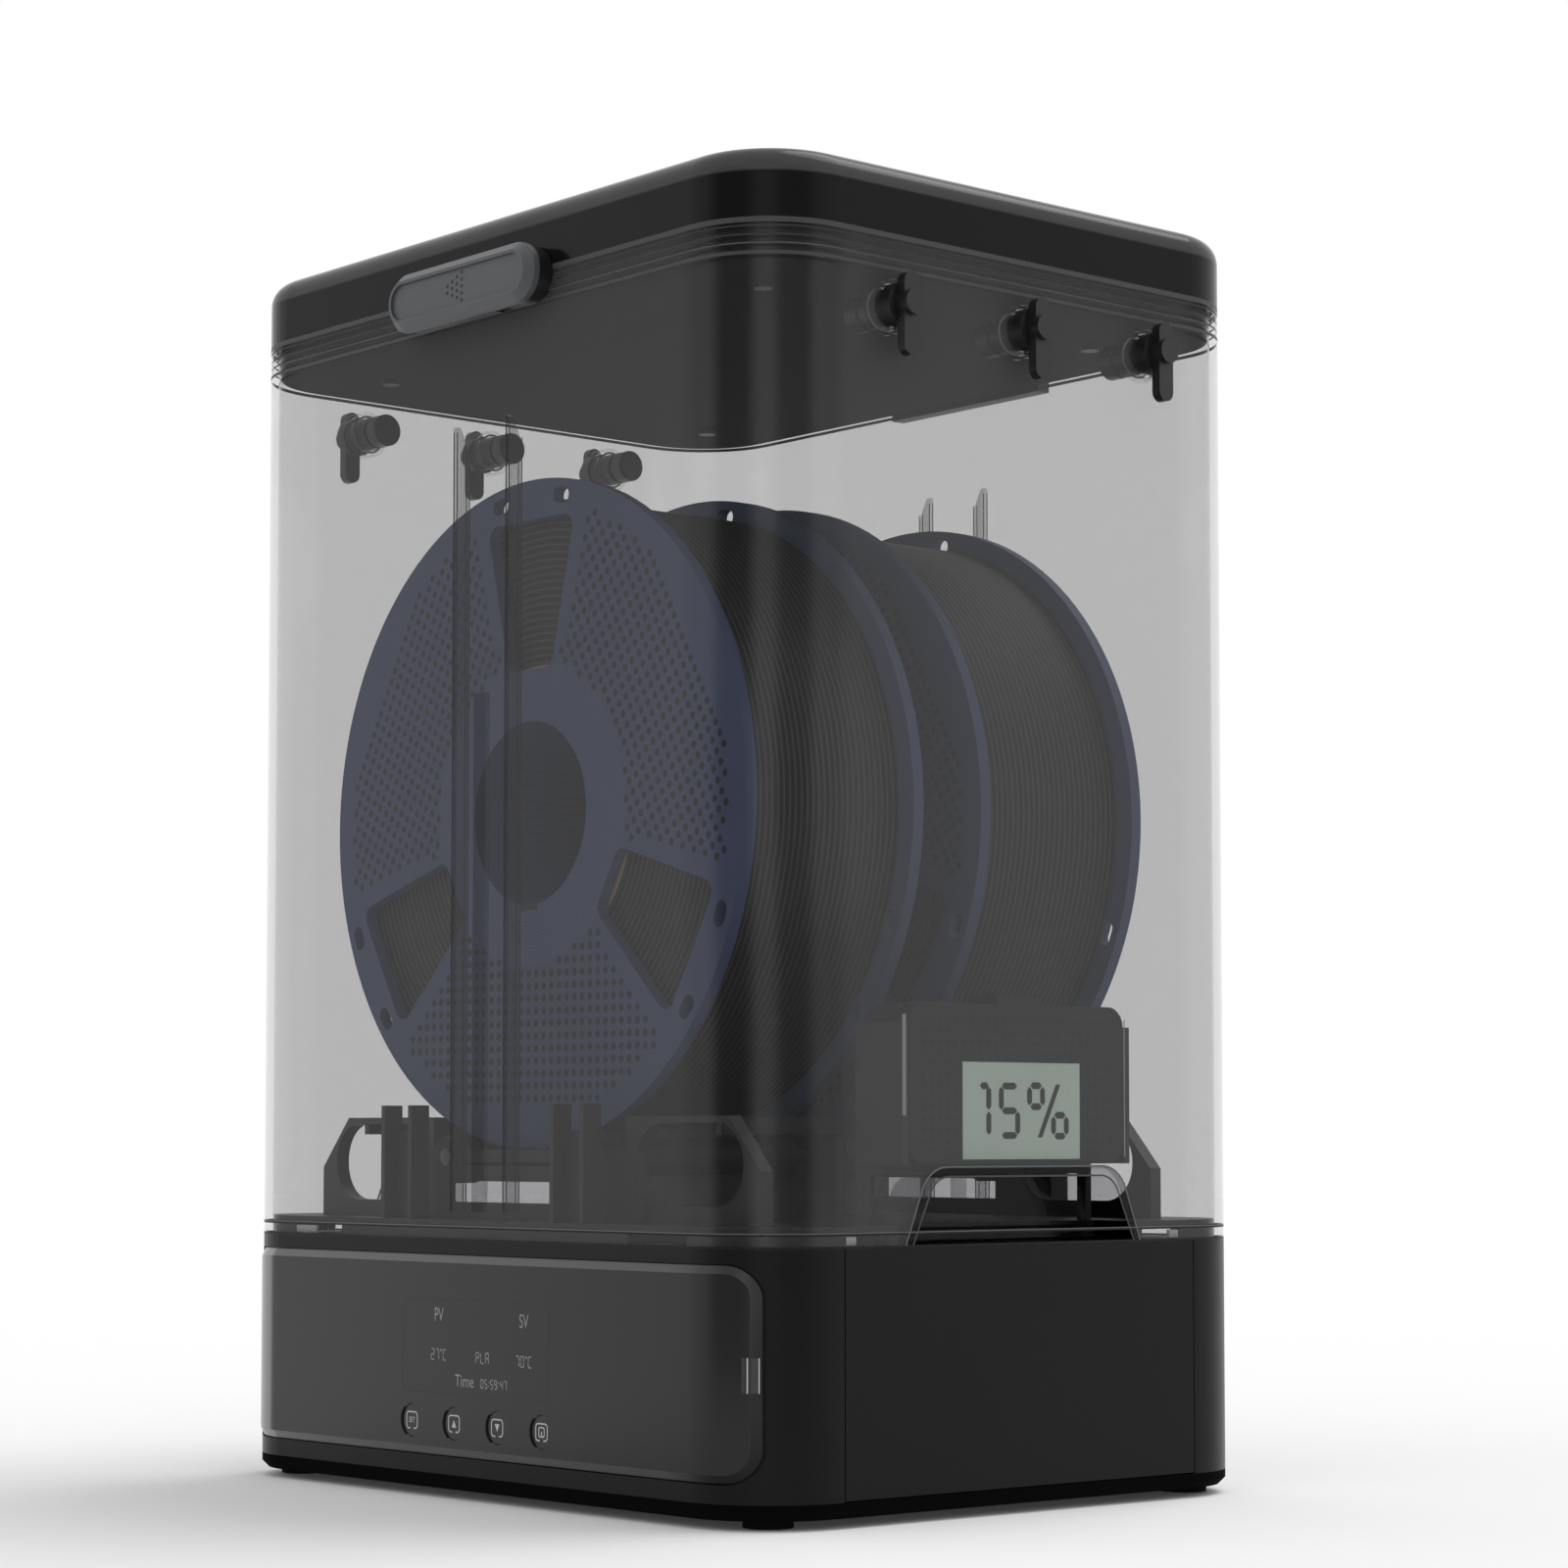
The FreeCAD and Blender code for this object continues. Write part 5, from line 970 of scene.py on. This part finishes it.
class DRYER_OT_stage(bpy.types.Operator):
    """Pale floor, soft studio light, white surroundings and the camera"""

    bl_idname = "dryer.stage"
    bl_label = "Stage"

    def lamp(self, name, bearing, height, power, spread):
        """Wide soft light from a bearing and a height, in degrees."""
        light = bpy.data.lights.new(name, "SUN")
        light.energy = power
        light.angle = radians(spread)
        item = bpy.data.objects.new(name, light)
        bpy.context.scene.collection.objects.link(item)
        item.rotation_euler = (radians(90 - height), 0, radians(bearing))

    def flag(self, name, bearing, reach, depth):
        """Dark card with soft edges beside the near corner, seen only in reflections."""
        data = bmesh.new()
        bmesh.ops.create_grid(data, x_segments=1, y_segments=1, size=0.5)
        mesh = bpy.data.meshes.new(name)
        data.to_mesh(mesh)
        data.free()
        graph = Graph(name)
        fade = graph.node("ShaderNodeMath", {"operation": "ABSOLUTE"}, {0: graph.axes()[0]})
        limits = {"Value": fade, "From Min": 0.5, "From Max": 0.15}
        shade = graph.node("ShaderNodeMapRange", SMOOTH, limits)
        through = graph.node("ShaderNodeBsdfTransparent")
        black = graph.node("ShaderNodeBsdfDiffuse", {}, {"Color": (0, 0, 0, 1)})
        card = graph.node("ShaderNodeMixShader", {}, {0: shade * depth, 1: through, 2: black})
        mesh.materials.append(graph.finish(card))
        item = bpy.data.objects.new(name, mesh)
        bpy.context.scene.collection.objects.link(item)
        turn = radians(bearing)
        distance = 0.6
        item.location = (0.12 + distance * cos(turn), -0.09 + distance * sin(turn), 0.35)
        item.rotation_euler = (radians(90), 0, turn + radians(90))
        item.scale = (2 * distance * sin(radians(reach)) / cos(radians(reach)), 0.7, 1)
        for kind in ("camera", "diffuse", "transmission", "shadow", "volume_scatter"):
            setattr(item, f"visible_{kind}", False)

    def floor(self):
        """Wide pale floor, a little lifted towards white for the camera."""
        data = bmesh.new()
        bmesh.ops.create_circle(data, cap_ends=True, segments=96, radius=6.0)
        mesh = bpy.data.meshes.new("floor")
        data.to_mesh(mesh)
        data.free()
        graph = Graph("floor")
        path = graph.node("ShaderNodeLightPath")
        lit = graph.principled(Base_Color=(0.96, 0.96, 0.96, 1), Roughness=0.9, Specular_IOR_Level=0.0)
        white = graph.node("ShaderNodeEmission", {}, {"Color": (1, 1, 1, 1), "Strength": 1.0})
        surface = graph.node("ShaderNodeMixShader", {}, {0: path * 0.03, 1: lit, 2: white})
        mesh.materials.append(graph.finish(surface))
        item = bpy.data.objects.new("floor", mesh)
        bpy.context.scene.collection.objects.link(item)
        item.location.z = -0.0002
        item.visible_diffuse = False
        item.visible_shadow = False

    def world(self):
        """White to the camera, in reflections and through clear walls; softer as a light."""
        world = bpy.data.worlds.new("studio")
        bpy.context.scene.world = world
        world.use_nodes = True
        tree = world.node_tree
        tree.nodes.clear()
        path = tree.nodes.new("ShaderNodeLightPath")
        seen = path.outputs["Is Camera Ray"]
        for ray in ("Is Glossy Ray", "Is Transmission Ray"):
            either = tree.nodes.new("ShaderNodeMath")
            either.operation = "MAXIMUM"
            tree.links.new(seen, either.inputs[0])
            tree.links.new(path.outputs[ray], either.inputs[1])
            seen = either.outputs[0]
        mix = tree.nodes.new("ShaderNodeMixShader")
        tree.links.new(seen, mix.inputs[0])
        for index, strength in ((1, 0.72), (2, 1.0)):
            light = tree.nodes.new("ShaderNodeBackground")
            light.inputs["Color"].default_value = (1, 1, 1, 1)
            light.inputs["Strength"].default_value = strength
            tree.links.new(light.outputs[0], mix.inputs[index])
        output = tree.nodes.new("ShaderNodeOutputWorld")
        tree.links.new(mix.outputs[0], output.inputs["Surface"])

    def camera(self):
        """Camera a little above the base's top edge, tilted and shifted up."""
        data = bpy.data.cameras.new("camera")
        data.sensor_width = 36.0
        data.lens = 87.141
        data.shift_y = 0.08
        data.clip_end = 30.0
        item = bpy.data.objects.new("camera", data)
        item.location = (0.903315, -0.759341, 0.106296)
        item.rotation_euler = (radians(93.4156), 0, radians(49.1644))
        bpy.context.scene.collection.objects.link(item)
        bpy.context.scene.camera = item

    def execute(self, context):
        self.floor()
        self.world()
        self.camera()
        self.lamp("overhead", 168, 62, 1.15, 40)
        self.flag("flag_left", -85, 34, 0.7)
        self.flag("flag_right", -12, 30, 0.55)
        context.scene.view_settings.view_transform = "Standard"
        return {"FINISHED"}


class DRYER_PT_panel(bpy.types.Panel):
    """Sizes, colours and steps of the dryer box"""

    bl_idname = "DRYER_PT_panel"
    bl_label = "Dryer box"
    bl_space_type = "VIEW_3D"
    bl_region_type = "UI"
    bl_category = "Dryer"

    def draw(self, context):
        for group in (context.scene.dryer_sizes, context.scene.dryer_colours):
            for name in group.__annotations__:
                self.layout.prop(group, name)
        for operator in OPERATORS:
            self.layout.operator(operator.bl_idname)


OPERATORS = (
    DRYER_OT_finishes,
    DRYER_OT_front_panel,
    DRYER_OT_display,
    DRYER_OT_button_marks,
    DRYER_OT_indicator,
    DRYER_OT_latch_dots,
    DRYER_OT_hygrometer,
    DRYER_OT_spool_faces,
    DRYER_OT_wall_edges,
    DRYER_OT_painted_glints,
    DRYER_OT_stage,
)
CLASSES = (DryerSizes, DryerColours, *OPERATORS, DRYER_PT_panel)


def register():
    for cls in CLASSES:
        bpy.utils.register_class(cls)
    bpy.types.Scene.dryer_sizes = PointerProperty(type=DryerSizes)
    bpy.types.Scene.dryer_colours = PointerProperty(type=DryerColours)


def unregister():
    del bpy.types.Scene.dryer_colours
    del bpy.types.Scene.dryer_sizes
    for cls in reversed(CLASSES):
        bpy.utils.unregister_class(cls)


def main():
    register()
    bpy.ops.dryer.finishes()
    bpy.ops.dryer.front_panel()
    bpy.ops.dryer.display()
    bpy.ops.dryer.button_marks()
    bpy.ops.dryer.indicator()
    bpy.ops.dryer.latch_dots()
    bpy.ops.dryer.hygrometer()
    bpy.ops.dryer.spool_faces()
    bpy.ops.dryer.wall_edges()
    bpy.ops.dryer.clips()
    bpy.ops.dryer.stage()


if __name__ == "__main__":
    main()
